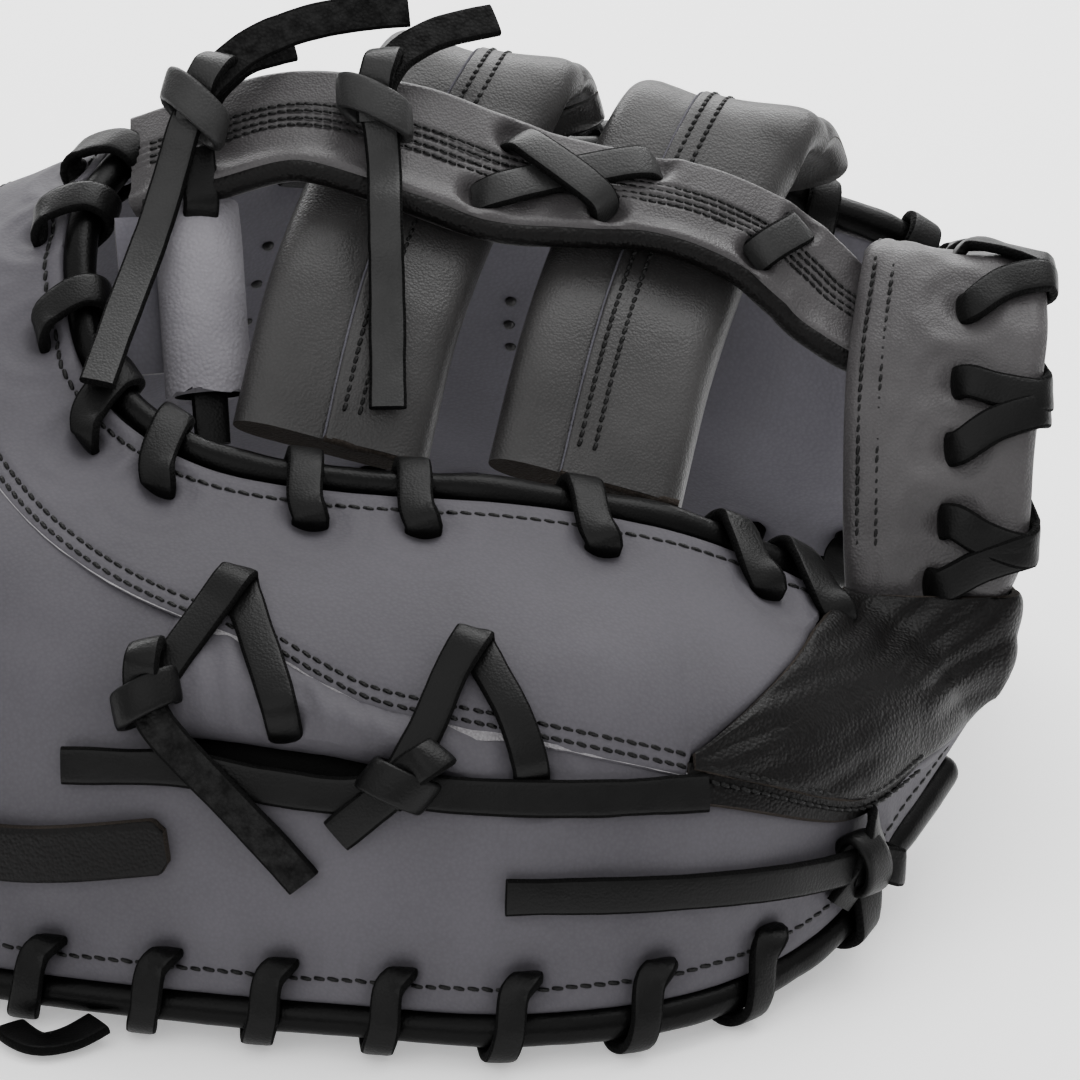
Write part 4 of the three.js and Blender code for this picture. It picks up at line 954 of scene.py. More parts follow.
def tie_crotch():
    tie = knot(Shape(), np.array(CROTCH_TIE) + [0.5, 0, 1], [-0.25, -0.7, -0.75], POST_FACE, 1.1, 51, -3.4)
    down = [CROTCH_TIE, [-10.5, 111, 129.9], [-13.6, 106, 120.2], [-16.7, 100, 111.9], [-21.3, 86, 103.1],
            [-25.1, 72.5, 95.6]]
    up = [CROTCH_TIE, [-7, 116, 135.2], [1.1, 121, 141.3], [13.8, 126, 144.6], [29.8, 130, 145.3]]
    behind = [CROTCH_TIE, [-5.9, 119, 134], [0, 124, 138], [8.5, 129, 138.8]]
    free_end(tie, down, POST_FACE, 52)
    free_end(tie, up, (-0.2, -0.9, 0.4), 53, (SUEDE, FACE))
    free_end(tie, behind, (-0.2, -0.9, 0.4), 54, (SUEDE, FACE))
    build("tie_crotch", tie, LIT_LACE_LOOKS, "tie_crotch")


def tie_post():
    tie = knot(Shape(), np.array(POST_TIE) + [0, 0, 0.5], [0.05, -0.7, -0.75], POST_FACE, 1.1, 61, -3.4)
    down = [POST_TIE, [24.9, 111, 129.9], [25.7, 107, 123.7], [26, 98.5, 117.4], [26.4, 90.5, 104.1],
            [26.7, 76, 89.2]]
    up = [POST_TIE, [24.8, 118, 135], [28.4, 124, 138.5], [35.6, 129, 141], [45.7, 134, 141.6]]
    free_end(tie, down, POST_FACE, 62)
    free_end(tie, up, (-0.3, -0.7, 0.6), 63, (SUEDE, FACE))
    build("tie_post", tie, LIT_LACE_LOOKS, "tie_post")


def tail_heel():
    points = [[-39.5, 8, 0.1], [-36.5, 4, 0.1], [-33, 2, 0.1], [-28, 4, 0.3], [-23.5, 7.2, 1.4]]
    build("tail_heel", free_end(Shape(), points, UP, 71), LACE_LOOKS, "tail_heel")


tie_thumb_heel()
tie_thumb_tip()
tie_edge()
tie_crotch()
tie_post()
tail_heel()
for b, r in ((6.28, 0.53), (4.96, 0.605)):  # where the two folded laces go into the back
    HOLES.append((back(b, r), 3.4))


# Relief that laces and stitching press into the leather
def pressed(points, strength=1.0):
    """How far the leather sinks at points because of the lace holes near them."""
    depth = np.zeros(points.shape[:-1])
    low, high = points.reshape(-1, 3).min(0) - 12, points.reshape(-1, 3).max(0) + 12
    for centre, radius in HOLES:
        if np.all(centre > low) and np.all(centre < high):
            d = np.linalg.norm(points - centre, axis=-1)
            depth += 1.1 * bell(d / (radius * 1.7)) + 1.5 * np.exp(-((d / radius) ** 4))
            depth += 0.35 * np.cos(d * 1.1) * bell(d / 9)
    return depth * strength


def grooved(points, line, width, depth):
    """How far the leather sinks along a line."""
    flat = points.reshape(-1, 3)
    nearest = np.full(len(flat), 1e9)
    for start in range(0, len(line), 40):
        part = line[start:start + 40]
        nearest = np.minimum(nearest, np.linalg.norm(flat[:, None] - part[None], axis=-1).min(1))
    return depth * bell(nearest / width).reshape(points.shape[:-1])


BORDER_ROLL = 1.7  # millimetres from a border within which leather rolls down to it
NEAR_BORDER = np.array([0.0, 0.35, 0.9, 1.7, 2.8])  # millimetres from a border to the first columns


def spaced(low, high, count, lengths):
    """Shares across a panel, closer together near both borders, for each row."""
    share = np.minimum(NEAR_BORDER[None] / np.maximum(lengths[:, None], 12), 0.12)
    middle = np.linspace(0, 1, count + 1)[1:-1]
    first, last = share[:, -1:], 1 - share[:, -1:]
    s = np.concatenate([share, first + (last - first) * middle[None], 1 - share[:, ::-1]], 1)
    return low[:, None] + (high - low)[:, None] * s, s


def bulk(points):
    """Gentle unevenness that the leather of the back and palm has all over."""
    return 0.45 * noise(points, 19, 3) + 0.16 * noise(points, 7, 4)


def heel_swell(points):
    """Broader unevenness of the lower thumb panel."""
    return 0.8 * noise(points, 34, 8)


def panel(shape, surface, b0, b1, rows, low, high, columns, thick=LEATHER, lift=0.0, relief=None, rolled=0.7):
    """Leather panel on a skin between two border lines, with soft edges and relief."""
    b = np.linspace(b0, b1, rows + 1)
    lo, hi = low(b), high(b)
    lengths = (hi - lo) * span(b)
    r, s = spaced(lo, hi, columns, lengths)
    bb = np.broadcast_to(b[:, None], r.shape)
    base = surface(bb, r, lift)
    to_border = np.minimum(s, 1 - s) * lengths[:, None]
    edge = rolled * np.clip(1 - to_border / BORDER_ROLL, 0, 1) ** 2
    sink = pressed(base) - bulk(base) + edge
    if relief is not None:
        sink = sink - relief(bb, r, base)
    inner_sink = np.minimum(sink, pressed(base, 0.9) - bulk(base) + 0.2)
    outer = surface(bb, r, lift - sink)
    inner = surface(bb, r, lift - thick - inner_sink)
    return slab(shape, outer, inner)


def thin_layer(b, r, over, under):
    """Thin leather on the back, from just under its surface to just over it."""
    bb = np.broadcast_to(b[:, None], r.shape)
    level = bulk(back(bb, r))
    return slab(Shape(), back(bb, r, level + over), back(bb, r, level - under))


SEAM_ROWS = [0.7, 2.9]  # millimetres above the seam's cut edge
SEAM_STATIONS = np.linspace(4.2, 13.3, 200)


def seam_row(mm):
    return seam(SEAM_STATIONS) - mm / span(SEAM_STATIONS)


def web_row(b):
    return (WELT_RADIUS + 2.6) / span(b)


SEAM_LINES = [back(SEAM_STATIONS, seam_row(mm), SEAM_STEP) for mm in SEAM_ROWS]


# Upper panel, and the pale cut edge under its seam
def upper_border(b):
    lapped = seam(b) + 1.1 / span(b)
    return np.where(b < PATCH_END, np.minimum(lapped, patch_edge(b)), lapped)


def upper_relief(b, r, base):
    rows = -sum(grooved(base, line, 0.7, 0.35) for line in SEAM_LINES)
    stations = np.linspace(2.4, 13.3, 220)
    rows = rows - grooved(base, back(stations, web_row(stations), SEAM_STEP), 0.9, 0.4)
    shift = 0.05 * np.sin(r * 9)
    for at, depth in ((4.14, 0.3), (4.86, 0.25), (5.06, 0.15)):
        rows = rows - depth * bell((b + shift - at) * 30) * smooth(r, 0.08, 0.2)
    return rows


EDGE_GAPES = [(6.68, 0.16), (5.3, 0.2)]  # where the leather gapes under the seam: station and half length


def seam_cut_edge():
    b = np.linspace(4.15, 13.3, 500)
    gapes = sum(1.7 * bell((b - at) / half) for at, half in EDGE_GAPES)
    wide = -0.2 + 0.12 * noise(back(b, seam(b)), 3, 18) + gapes
    r = seam(b)[:, None] + (0.2 + (0.9 + wide)[:, None] * np.linspace(0, 1, 5)[None]) / span(b)[:, None]
    build("seam_cut_edge", thin_layer(b, r, 0.55, 0.1), [RAW, RAW, RAW])


upper = panel(Shape(), back, 2.45, 13.4, 330, from_web, upper_border, 40, LEATHER, SEAM_STEP, upper_relief)
build("back_upper", upper, UPPER_LOOKS, "back_upper")
seam_cut_edge()


# Lower thumb panel, in two parts either side of the slit
def strip_low(b):
    return seam(b) - 0.8 / span(b)


SLIT_OPENS = 5.25  # station
SLIT_LENGTH = 1.65  # stations


def slit_half(b):
    share = np.clip((b - SLIT_OPENS) / SLIT_LENGTH, 0, 1)
    return (0.15 + 3.2 * np.sin(np.pi * share) ** 0.8) / span(b)


def slit_top(b):
    return np.maximum(slit(b) - slit_half(b), seam(b) + 2.4 / span(b))


def lower_top(b):
    """Upper border of the part below the slit, which meets the seam past the slit's end."""
    joined = smooth(b, 6.96, 7.06)
    return (slit(b) + slit_half(b)) * (1 - joined) + strip_low(b) * joined


def fold_relief(b, r, base):
    """Leather that bulges over the slit and curls in at its edge."""
    share = (r - strip_low(b)) / (slit_top(b) - strip_low(b))
    inside = np.clip(share, 0, 1)
    bulge = smooth(b, 4.9, 5.7) * (1 - smooth(b, 6.9, 7.3))
    curl = 3.0 * bulge * np.sin(np.pi * inside**1.3) - 0.6 * bulge * inside**6
    wrinkle = 0.35 * np.sin(b * 34 + 5 * share) * bulge * inside * (1 - inside) * 3
    tucked = -2.6 * smooth(b, 6.98, 7.2)
    return curl + wrinkle + tucked


def lower_relief(b, r, base):
    line = bell((r - 0.42 - 0.02 * (b - 7)) * 26)
    return heel_swell(base) + -0.5 * line * smooth(b, 7.3, 8) * (1 - smooth(b, 9, 10))


lower = panel(Shape(), back, 0.3, 7.3, 300, strip_low, slit_top, 26, relief=fold_relief, rolled=1.2)
panel(lower, back, 0.3, 10, 330, lower_top, wrist_edge, 40, relief=lower_relief)
build("thumb_back_lower", lower, UPPER_LOOKS, "thumb_back_lower")
padding = panel(Shape(), back, 4.6, 7.3, 60, lambda b: slit(b) - 7 / span(b), lambda b: slit(b) + 6 / span(b),
                6, thick=1.6, lift=-5.0)
build("slit_padding", padding, [DARK, DARK, DARK])

# The rest of the back, and the palm
hand = panel(Shape(), back, 10.02, 13.4, 100, strip_low, wrist_edge, 40)
build("hand_back", hand, LEATHER_LOOKS, "hand_back")
fingers = panel(Shape(), back, 13.42, LAST - 0.4, 240, from_web, wrist_edge, 50)
build("finger_back", fingers, LEATHER_LOOKS, "finger_back")
# Palm shell in the lightened pocket leather: painted light for the shaded pocket
pocket = panel(Shape(), palm, 0.1, LAST - 0.1, 420, from_web, from_edge, 44,
               relief=lambda b, r, base: 0.5 * noise(base, 30, 12))
build("palm_shell", pocket, LIT_POCKET_LOOKS, "palm_shell")

# Blind dots in the pocket leather, seen between the bars: station and share
POCKET_DOTS = [(15.3, 0.2), (15.46, 0.284), (15.64, 0.378), (17.19, 0.33), (17.27, 0.39), (17.36, 0.45)]
DOT_HEIGHTS = np.array([[-1.0], [0.2], [0.7], [0.9]])
DOT_RADII = np.array([1.15, 1.15, 0.9, 0.3])


def pocket_dots():
    dots = Shape()
    for b, r in POCKET_DOTS:
        n = normal_of(palm, b, r)
        out = palm(b, r, 0.0) + n * DOT_HEIGHTS
        cord_round(dots, out, DOT_RADII, 14, np.broadcast_to(unit(np.cross(n, UP)), out.shape))
    build("pocket_dots", dots, [BAR])


pocket_dots()


# Patches folded over the tips
def tip_surface(end, inward, straight):
    """Skin that runs over the back at s > 1, round the tip's end, and under the palm at s < 0."""
    middle = chord(end, 0.5) - chord(end + inward, 0.5)
    width = chord(end, 1.0) - chord(end, 0.0)

    def surface(s, r, lift):
        s, r, lift = together(s, r, lift)
        on_back = back(end + inward * np.maximum(s - 1, 0), r, lift)
        on_palm = palm(end + inward * np.maximum(-s, 0), r, lift)
        n = outward(end, r)
        t = unit(chord(end, r) - chord(end + inward, r))
        if straight:
            t = np.cross(width, n)
            t = unit(t * np.sign(dot(t, np.broadcast_to(middle, t.shape))))
        t = unit(t - n * dot(t, n))
        at_end = np.full(r.shape, float(end))
        high = skin_height(at_end, r, BACK_SWELL, BACK_MOUTH) + lift
        low = skin_height(at_end, r, PALM_SWELL, PALM_MOUTH) + lift
        height = low + (high - low) * np.clip(s, 0, 1)
        angle = np.pi * np.clip(s, 0, 1)
        rise, reach = np.cos(angle) * height, np.sin(angle) * height
        fold = chord(end, r) - n * rise[..., None] + t * reach[..., None]
        return np.where((s >= 1)[..., None], on_back, np.where((s <= 0)[..., None], on_palm, fold))
    return surface


def tip_patch(name, end, inward, length, low, high, lift, relief, hug=0.0):
    """Patch over a tip; hug pulls its side borders in to the leather."""
    surface = tip_surface(end, inward, hug > 0)
    under_palm, fold = np.linspace(-0.8, 0, 16), np.linspace(0, 1, 16)
    s = np.concatenate([under_palm[:-1], fold[:-1], np.linspace(1, 1 + length, 110)])
    b = end + inward * np.maximum(s - 1, 0)
    lo, hi = low(b), high(b)
    r, share = spaced(lo, hi, 30, np.maximum((hi - lo) * span(b), 1))
    ss = np.broadcast_to(s[:, None], r.shape)
    lift = lift - hug * (1 - smooth(np.minimum(share, 1 - share), 0, 0.25))
    base = surface(ss, r, lift)
    to_border = np.minimum(share, 1 - share) * ((hi - lo) * span(b))[:, None]
    edge = 0.5 * np.clip(1 - to_border / BORDER_ROLL, 0, 1) ** 2
    sink = edge - 0.25 * noise(base, 11, 14) - relief(base)
    under = surface(ss, r, lift - PATCH_LEATHER - np.minimum(sink, 0.3))
    build(name, slab(Shape(), surface(ss, r, lift - sink), under), PATCH_LOOKS, name)


def diagonal(base):
    """Folds that fan out over the thumb tip from its seam."""
    u = base @ np.array([-0.45, 0.37, 0.81])
    warp = 4.5 * noise(base * [0.5, 1, 1], 20, 15)
    folds = np.abs(np.sin((u + warp) * 0.5)) ** 1.3
    return 0.95 * (folds - 0.5) * smooth(noise(base, 19, 16), -0.7, 0.4)


def thumb_tip_hem():
    """Hem strip under the thumb-tip patch."""
    b = np.linspace(1.9, 4.2, 90)
    hem = np.stack([seam(b) - 1.5 / span(b), slit(b) + 1.2 / span(b)], -1)
    r = hem[:, :1] + (hem[:, 1:] - hem[:, :1]) * np.linspace(0, 1, 12)[None]
    build("thumb_tip_hem", thin_layer(b, r, 1.1, 0.3), PATCH_LOOKS)


tip_patch("thumb_tip_patch", 0, 1, 4.17, patch_edge, lambda b: seam(b) - 0.3 / span(b), 2.4, diagonal)
tip_patch("finger_tip_patch", LAST, -1, 0.9, np.zeros_like, np.ones_like, 2.8,
          lambda base: 0.3 * diagonal(base), hug=1.6)
thumb_tip_hem()


# Rolled welts and bound edges
def welted(name, edge, b0, b1):
    """Welt with rounded ends, pinched where a lace winds round it."""
    path = resample(edge(np.linspace(b0, b1, 900)), 0.9)
    pinch = np.zeros(len(path))
    for centre, _ in HOLES:
        d = np.linalg.norm(path - centre, axis=-1)
        pinch += 0.45 * bell((d - HOLE_INSET) / 4) * (d < 20)
    size = WELT_RADIUS * (1 + 0.03 * noise(path, 8, 21) + 0.02 * noise(path, 3, 22)) - np.minimum(pinch, 0.5)
    from_end = 0.9 * np.minimum(np.arange(len(path)), np.arange(len(path))[::-1])
    size = size * np.sqrt(np.clip(1 - (1 - np.minimum(from_end / WELT_RADIUS, 1)) ** 2, 0.04, 1))
    build(name, cord_round(Shape(), path, size, 20), [WELT], name)


def bound(name, surface, b0, b1, r):
    """Bound edge of the hand opening."""
    b = np.linspace(b0, b1, 300)
    path = resample(surface(b, r(b) + (BINDING_RADIUS + 0.6) / span(b), -LEATHER / 2), 0.9)
    build(name, cord_round(Shape(), path, BINDING_RADIUS), [WELT], name)


welted("welt_web", inner_edge, 2.2, LAST - 0.15)
welted("welt_thumb_edge", outer_edge, 0.9, 9.2)
welted("welt_finger_edge", outer_edge, 14.6, LAST - 0.15)
bound("binding_palm", palm, 10.1, 14, from_edge)
bound("binding_back", back, 10.7, 13.3, wrist_edge)


# Bands of the web
def cross_band(points, normals, sides, widths, profile, relief=None):
    """Band whose section is the profile (across -1 to 1, top, bottom), swept along frames."""
    across, top, bottom = profile.T
    line = points[:, None] + sides[:, None] * (across * (widths / 2)[:, None])[..., None]
    out = line + normals[:, None] * top[None, :, None]
    inner = line + normals[:, None] * bottom[None, :, None]
    if relief is not None:
        out = out + normals[:, None] * relief(out)[..., None]
    return slab(Shape(), out, inner, (0, 1, 0))


POST_ROWS = [-0.14, -0.02, 0.12, 0.24]  # stitched rows, as places across from -1 to 1


def post_profile():
    """Flat leather with a rolled lower edge and four stitched grooves."""
    x = np.concatenate([[-1, -0.985, -0.94, -0.86], np.linspace(-0.78, 0.88, 60), [0.93, 0.97, 0.99, 1]])
    top = np.full(len(x), POST_THICK / 2 - 0.5)
    top += 1.3 * bell((x + 0.8) / 0.2)
    for at in POST_ROWS:
        top -= 0.3 * bell((x - at) / 0.035)
    top += 0.35 * (1 - x**2)
    fall = np.clip((np.abs(x) - 0.86) / 0.14, 0, 1)
    top -= fall**2 * np.where(x < 0, 3.4, 2.2)
    bottom = np.full(len(x), -POST_THICK / 2) + fall**2 * np.where(x < 0, 1.8, 1.4)
    return np.stack([x, top, bottom], -1)


def post_relief(points):
    depth = 0.3 * noise(points, 12, 31) + 0.12 * noise(points, 4, 32)
    for hole in POST_HOLES:
        d = np.linalg.norm(points - hole, axis=-1)
        depth -= 2.4 * np.exp(-((d / 3.1) ** 4)) - 0.35 * bell((d - 5) / 1.8)
    for hole in (CROTCH_TIE, POST_TIE):
        d = np.linalg.norm(points - np.array(hole) + POST_FACE * 6, axis=-1)
        depth -= 1.2 * bell(d / 5)
    return depth


def web_post():
    at = np.linspace(0, len(POST) - 1, 170)
    p, n, side, width = post_frame(at)
    build("web_post", cross_band(p, n, side, width, post_profile(), post_relief), BLACK_LOOKS, "web_post")
    # Near-black cord along the post's rolled lower edge: the edge is the post's own black leather, and its
    # darker colour is painted shade under the roll
    lip = post_skin(at, np.full(len(at), -0.9), -1.5 + 0.2 * noise(p, 7, 33))
    build("post_rolled_edge_shade", cord_round(Shape(), lip[4:-12], 2.3, 16, n[4:-12]), [PATCH])


def bar_frames(rows, count):
    path = spline(rows, np.linspace(0, len(rows) - 1, count))
    along = unit(np.gradient(path, axis=0))
    n = np.cross(np.broadcast_to([1.0, 0.0, BAR_LEAN], along.shape), along)
    flip = (n[:, 2] < 0) & (n[:, 1] > 0)
    n = unit(np.where(flip[:, None], -n, n))
    n = unit(n - along * dot(n, along))
    return path, n, np.cross(along, n)


def bar_profile(overlap):
    """Leather folded flat round itself, one half lying over the other."""
    round_side = 0.1 * (1 - np.cos(np.linspace(0, np.pi / 2, 7)))
    other_side = 0.1 * (1 - np.cos(np.linspace(np.pi / 2, 0, 7)))
    step = [overlap + 0.006, overlap + 0.03, overlap + 0.06]
    x = np.concatenate([-1 + round_side, np.linspace(-0.86, overlap, 18), step,
                        np.linspace(overlap + 0.1, 0.86, 26), 1 - other_side])
    half = BAR_THICK / 2 * np.clip(1 - np.abs(x) ** 7, 0, 1) ** 0.5
    top = half + np.where(x > overlap + 0.003, 1.3 * np.clip(1 - np.abs(x) ** 9, 0, 1), 0)
    top = top - np.where(np.abs(x - overlap - 0.006) < 0.004, 0.3, 0)
    return np.stack([x, top, -half], -1)


def bar_relief(points):
    pull = noise(points * [1, 0.5, 0.5], 9, 41)
    return 0.45 * noise(points, 15, 40) + 0.25 * pull + 0.1 * noise(points, 3.5, 42)


def bar_piece(name, rows, overlap):
    path, n, side = bar_frames(rows, 110)
    side = side * (1 if side[0][0] > 0 else -1)
    widths = np.full(len(path), BAR_WIDTH)
    bar = cross_band(path, n, side, widths, bar_profile(overlap), bar_relief)
    build(name, bar, [BAR, RAW_BROWN, DARK], name)
    return path, n, side


def cut_edges(name, bar, overlap):
    """Pale cut edge of the flap that lies over a bar, and its brown cut end."""
    path, n, side = bar
    half, top = BAR_WIDTH / 2, BAR_THICK / 2
    if path[0][2] < path[-1][2]:
        path, n, side = path[::-1], n[::-1], side[::-1]
    line = path + side * overlap * half + n * (top + 0.75)
    edges = cord_round(Shape(), line, 0.24, 8, n)
    across = np.linspace(overlap, 0.93, 40)[:, None]
    end = path[-1] + side[-1] * across * half + n[-1] * (top + 0.35)
    cord_round(edges, end + 0.2 * noise(end, 2, 44)[:, None], 0.75, 10, np.broadcast_to(n[-1], end.shape), 1)
    build(name, edges, [FLESH, RAW_BROWN])


web_post()
LOWER_OVERLAP, UPPER_OVERLAP = -0.1, -0.3  # where the upper half of a bar ends, across from -1 to 1
lower_bar = bar_piece("web_bar_lower", LOWER_BAR, LOWER_OVERLAP)
upper_bar = bar_piece("web_bar_upper", UPPER_BAR, UPPER_OVERLAP)
cut_edges("bar_lower_edges", lower_bar, LOWER_OVERLAP)
cut_edges("bar_upper_edges", upper_bar, UPPER_OVERLAP)

ROLL_SIDES = 28


def oval(path, n, side, wide, deep):
    a = np.arange(ROLL_SIDES) * 2 * np.pi / ROLL_SIDES
    return rings_along(path, side, n, np.cos(a) * wide, np.sin(a) * deep)


def hollow_tube(outer, inner):
    """Tube with an open bore and two cut ends."""
    n, m = outer.shape[:2]
    count, end = n * m, (n - 1) * m
    j = np.arange(m)
    after = (j + 1) % m
    faces = [
        quads_of(n, m, closed=True),
        quads_of(n, m, closed=True, start=count)[:, ::-1],
        np.stack([after, j, count + j, count + after], -1),
        np.stack([end + j, end + after, count + end + after, count + end + j], -1),
    ]
    looks = np.concatenate([np.full(len(f), k) for f, k in zip(faces, (0, 2, 1, 1))])
    points = np.concatenate([outer.reshape(-1, 3), inner.reshape(-1, 3)])
    return Shape().add(points, np.concatenate(faces), looks)


def web_roll():
    """Grey roll at the foot of the web, torn at its end, and the lace through it."""
    path, n, side = bar_frames(WEB_ROLL, 50)
    along = unit(np.gradient(path, axis=0))
    outer = oval(path, n, side, 8, 5.5)
    ragged = 1.3 * noise(outer[-1], 2.2, 51) + 0.6 * noise(outer[-1], 0.9, 52)
    outer[-1] += along[-1] * ragged[:, None]
    roll = hollow_tube(outer, oval(path, n, side, 6.4, 3.9))
    build("web_roll", roll, [PALE_SUEDE, PALE_SUEDE, DARK], "web_roll")
    over = [(path[0] - along[0] * 8 + n[0] * 8.4, n[0]), (path[0] + n[0] * 7.2, n[0]),
            (path[8] + n[8] * 6.8, n[8]), (path[13] + n[13] * 3.4, n[13])]
    lace = strip(Shape(), over, seed=91)
    strip(lace, [(path[-14], n[-14]), (path[-1], n[-1]), (path[-1] + along[-1] * 9, n[-1])], seed=92)
    build("web_roll_lace", lace, LACE_LOOKS)


def web_flap():
    path, n, side = bar_frames(WEB_FLAP, 40)
    profile = np.stack([np.linspace(-1, 1, 12), np.full(12, 1.0), np.full(12, -1.0)], -1)
    # The flap lies in shade and gets the lightened pocket leather: painted light
    build("web_flap", cross_band(path, n, side, np.full(40, 7.0), profile), LIT_POCKET_LOOKS, "web_flap")


def web_rim():
    at = np.linspace(0, len(RIM) - 1, 150)
    side, n = rim_frame(at)
    x = np.concatenate([[-1, -0.985, -0.95, -0.9], np.linspace(-0.84, 0.84, 44), [0.9, 0.95, 0.985, 1]])
    fall = np.clip((np.abs(x) - 0.84) / 0.16, 0, 1)
    top = RIM_THICK / 2 + 0.6 * (1 - x**4)
    top -= fall**2 * 1.8
    for row in (-0.86, -0.66):
        top -= 0.25 * bell((x - row) / 0.04)
    profile = np.stack([x, top, -RIM_THICK / 2 + fall**2 * 0.8], -1)

    def relief(points):
        depth = 0.75 * noise(points * [0.35, 1, 1], 9, 61) + 0.25 * noise(points, 4, 62)
        return depth - pressed(points, 0.8)

    rim = cross_band(rim_point(at, 0.5), n, side, rim_width(at), profile, relief)
    build("web_rim", rim, BLACK_LOOKS, "web_rim")


# Wrist strap with its narrow pull tab: station, share, height, width
STRAP = np.array([
    [6.92, 0.752, 0, 10], [7.9, 0.8, 0, 10], [8.6, 0.8, 0, 10], [9.3, 0.8, 0.4, 24], [10.1, 0.86, 0.4, 24],
    [11.2, 0.88, 0, 24], [12.8, 0.88, 0, 24], [13.8, 0.86, 0.6, 24], [14.6, 0.8, 0.6, 24],
])
STRAP_THICK = 2.6


def wrist_strap():
    at = np.linspace(0, len(STRAP) - 1, 220)
    b, r, height, width = spline(STRAP, at).T
    path = back(b, r, STRAP_THICK / 2 + 0.4 + height)
    _, n, side = frames(path, normal_of(back, b, r))
    rounded = np.minimum(1, np.sqrt(np.clip(1 - (1 - np.minimum(at, 0.12) / 0.12) ** 2, 0.35, 1)))
    x = np.concatenate([[-1, -0.97, -0.9], np.linspace(-0.8, 0.8, 16), [0.9, 0.97, 1]])
    fall = np.clip((np.abs(x) - 0.8) / 0.2, 0, 1) ** 2
    profile = np.stack([x, STRAP_THICK / 2 - 0.5 * fall, -STRAP_THICK / 2 + 0.3 * fall], -1)
    strap = cross_band(path, n, side, width * rounded, profile,
                       lambda points: 0.2 * noise(points, 12, 71) + 0.1 * noise(points, 4, 72))
    build("wrist_strap", strap, PATCH_LOOKS, "wrist_strap")


web_roll()
web_flap()
web_rim()
wrist_strap()


# Stitching
def sew(thread, b, r, lift, pitch):
    """Row of stitches along the back, sunk where laces press the leather."""
    base = back(b, r, lift)
    path = back(b, r, lift + bulk(base) - pressed(base))
    stitches(thread, path, normal_of(back, b, r), pitch=pitch)


def sew_panels(thread):
    for mm in SEAM_ROWS:
        sew(thread, SEAM_STATIONS, seam_row(mm), SEAM_STEP - 0.2, 2.3)
    for start, end, lift in ((2.7, 13.3, SEAM_STEP - 0.2), (13.5, LAST - 1.2, 0)):
        b = np.linspace(start, end, 300)
        sew(thread, b, web_row(b), lift, 2.5)
    for start, end in ((1.2, 9.2), (14.7, LAST - 1.0)):
        b = np.linspace(start, end, 300)
        r = 1 - (WELT_RADIUS + 2.4) / span(b)
        sew(thread, b, r, heel_swell(back(b, r)) if start < 10 else 0.0, 2.5)
    b = np.linspace(2.0, 4.15, 100)
    for mm, lift in ((-1.0, 2.2), (1.2, 1.6)):
        sew(thread, b, seam(b) + mm / span(b), lift, 2.1)


def sew_web(thread):
    at = np.linspace(0.35, len(POST) - 1.1, 200)
    n = post_frame(at)[1]
    for across in POST_ROWS:
        stitches(thread, post_skin(at, np.full(len(at), across), -0.4 + 0.35), n, pitch=1.7, thread=0.32)
    at = np.linspace(0.1, len(RIM) - 1.1, 200)
    n = rim_frame(at)[1]
    for across in (0.07, 0.17):
        row = rim_point(at, np.full(len(at), across)) + n * (RIM_THICK / 2 + 0.15)
        stitches(thread, row, n, pitch=1.9, thread=0.36)
    for (path, n, side), rows in ((lower_bar, (0.04, 0.2)), (upper_bar, (-0.18, -0.02))):
        k = slice(int(0.06 * len(path)), int(0.96 * len(path)))
        for across in rows:
            row = path[k] + side[k] * across * BAR_WIDTH / 2 + n[k] * (BAR_THICK / 2 + 1.35)
            stitches(thread, row, n[k], pitch=1.8, thread=0.4)


stitching = Shape()
sew_panels(stitching)
sew_web(stitching)
build("stitching", stitching, [THREAD])


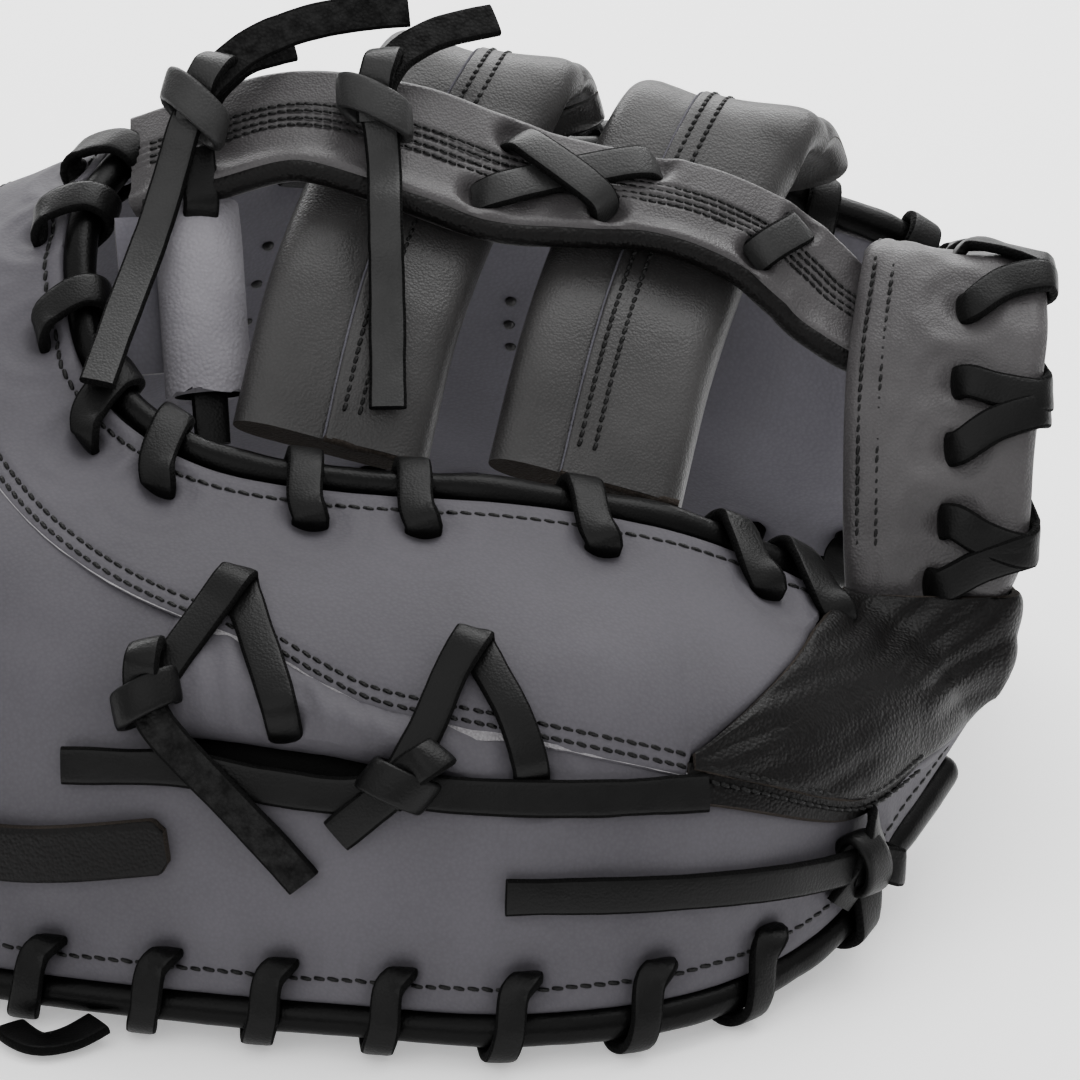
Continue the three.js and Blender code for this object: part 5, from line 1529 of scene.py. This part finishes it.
# Stage: floor, light and camera
def add_floor(reach=4.0):
    mesh = bpy.data.meshes.new("floor")
    corners = [(-reach, -reach, 0), (reach, -reach, 0), (reach, reach, 0), (-reach, reach, 0)]
    mesh.from_pydata(corners, [], [(0, 1, 2, 3)])
    pale, _, shader = node_tree("pale_floor")
    shader.inputs["Base Color"].default_value = (1, 1, 1, 1)
    shader.inputs["Roughness"].default_value = 0.8
    shader.inputs["Emission Color"].default_value = (1, 1, 1, 1)
    shader.inputs["Emission Strength"].default_value = 0.35
    mesh.materials.append(pale)
    placed("floor", mesh)


def add_dome():
    """Studio light from all round: bright overhead, dark towards the horizon."""
    world = bpy.data.worlds.new("studio")
    world.use_nodes = True
    tree = world.node_tree
    direction = tree.nodes.new("ShaderNodeTexCoord").outputs["Generated"]
    split = tree.nodes.new("ShaderNodeSeparateXYZ")
    tree.links.new(direction, split.inputs["Vector"])
    dome = tree.nodes.new("ShaderNodeMapRange")
    dome.interpolation_type = "SMOOTHSTEP"
    for key, value in (("From Min", 0.0), ("From Max", 0.9), ("To Min", 0.45), ("To Max", 1.5)):
        dome.inputs[key].default_value = value
    tree.links.new(split.outputs["Z"], dome.inputs["Value"])
    tree.links.new(dome.outputs["Result"], tree.nodes["Background"].inputs["Strength"])
    tree.nodes["Background"].inputs["Color"].default_value = (1, 1, 1, 1)
    bpy.context.scene.world = world


def aimed(thing, place, direction):
    thing.location = place
    thing.rotation_euler = Vector(direction).to_track_quat("-Z", "Y").to_euler()


def area_light(name, place, target, size, power):
    data = bpy.data.lights.new(name, "AREA")
    data.shape = "RECTANGLE"
    data.size, data.size_y = size
    data.energy = power
    aimed(placed(name, data), place, Vector(target) - Vector(place))


CAMERA_ELEVATION = math.radians(25)
CAMERA_DISTANCE = 1.2
CAMERA_TARGET = np.array([54, 60, 70.5])  # in the mitt's own frame


def add_camera():
    data = bpy.data.cameras.new("camera")
    data.lens = 224
    data.sensor_width = 36
    view = np.array([0, math.cos(CAMERA_ELEVATION), -math.sin(CAMERA_ELEVATION)])
    camera = placed("camera", data)
    aimed(camera, (CAMERA_TARGET - ORIGIN) / 1000 - CAMERA_DISTANCE * view, view)
    bpy.context.scene.camera = camera


add_floor()
add_dome()
area_light("key", (0.3, 0.35, 1.0), (0.02, 0.0, 0.06), (0.9, 0.7), 9)
area_light("back", (0.0, 1.1, 0.7), (0.0, 0, 0.06), (1.6, 0.5), 20)
area_light("fill", (-0.4, -1.1, 0.9), (0.05, 0, 0.05), (1.4, 0.9), 5)
add_camera()
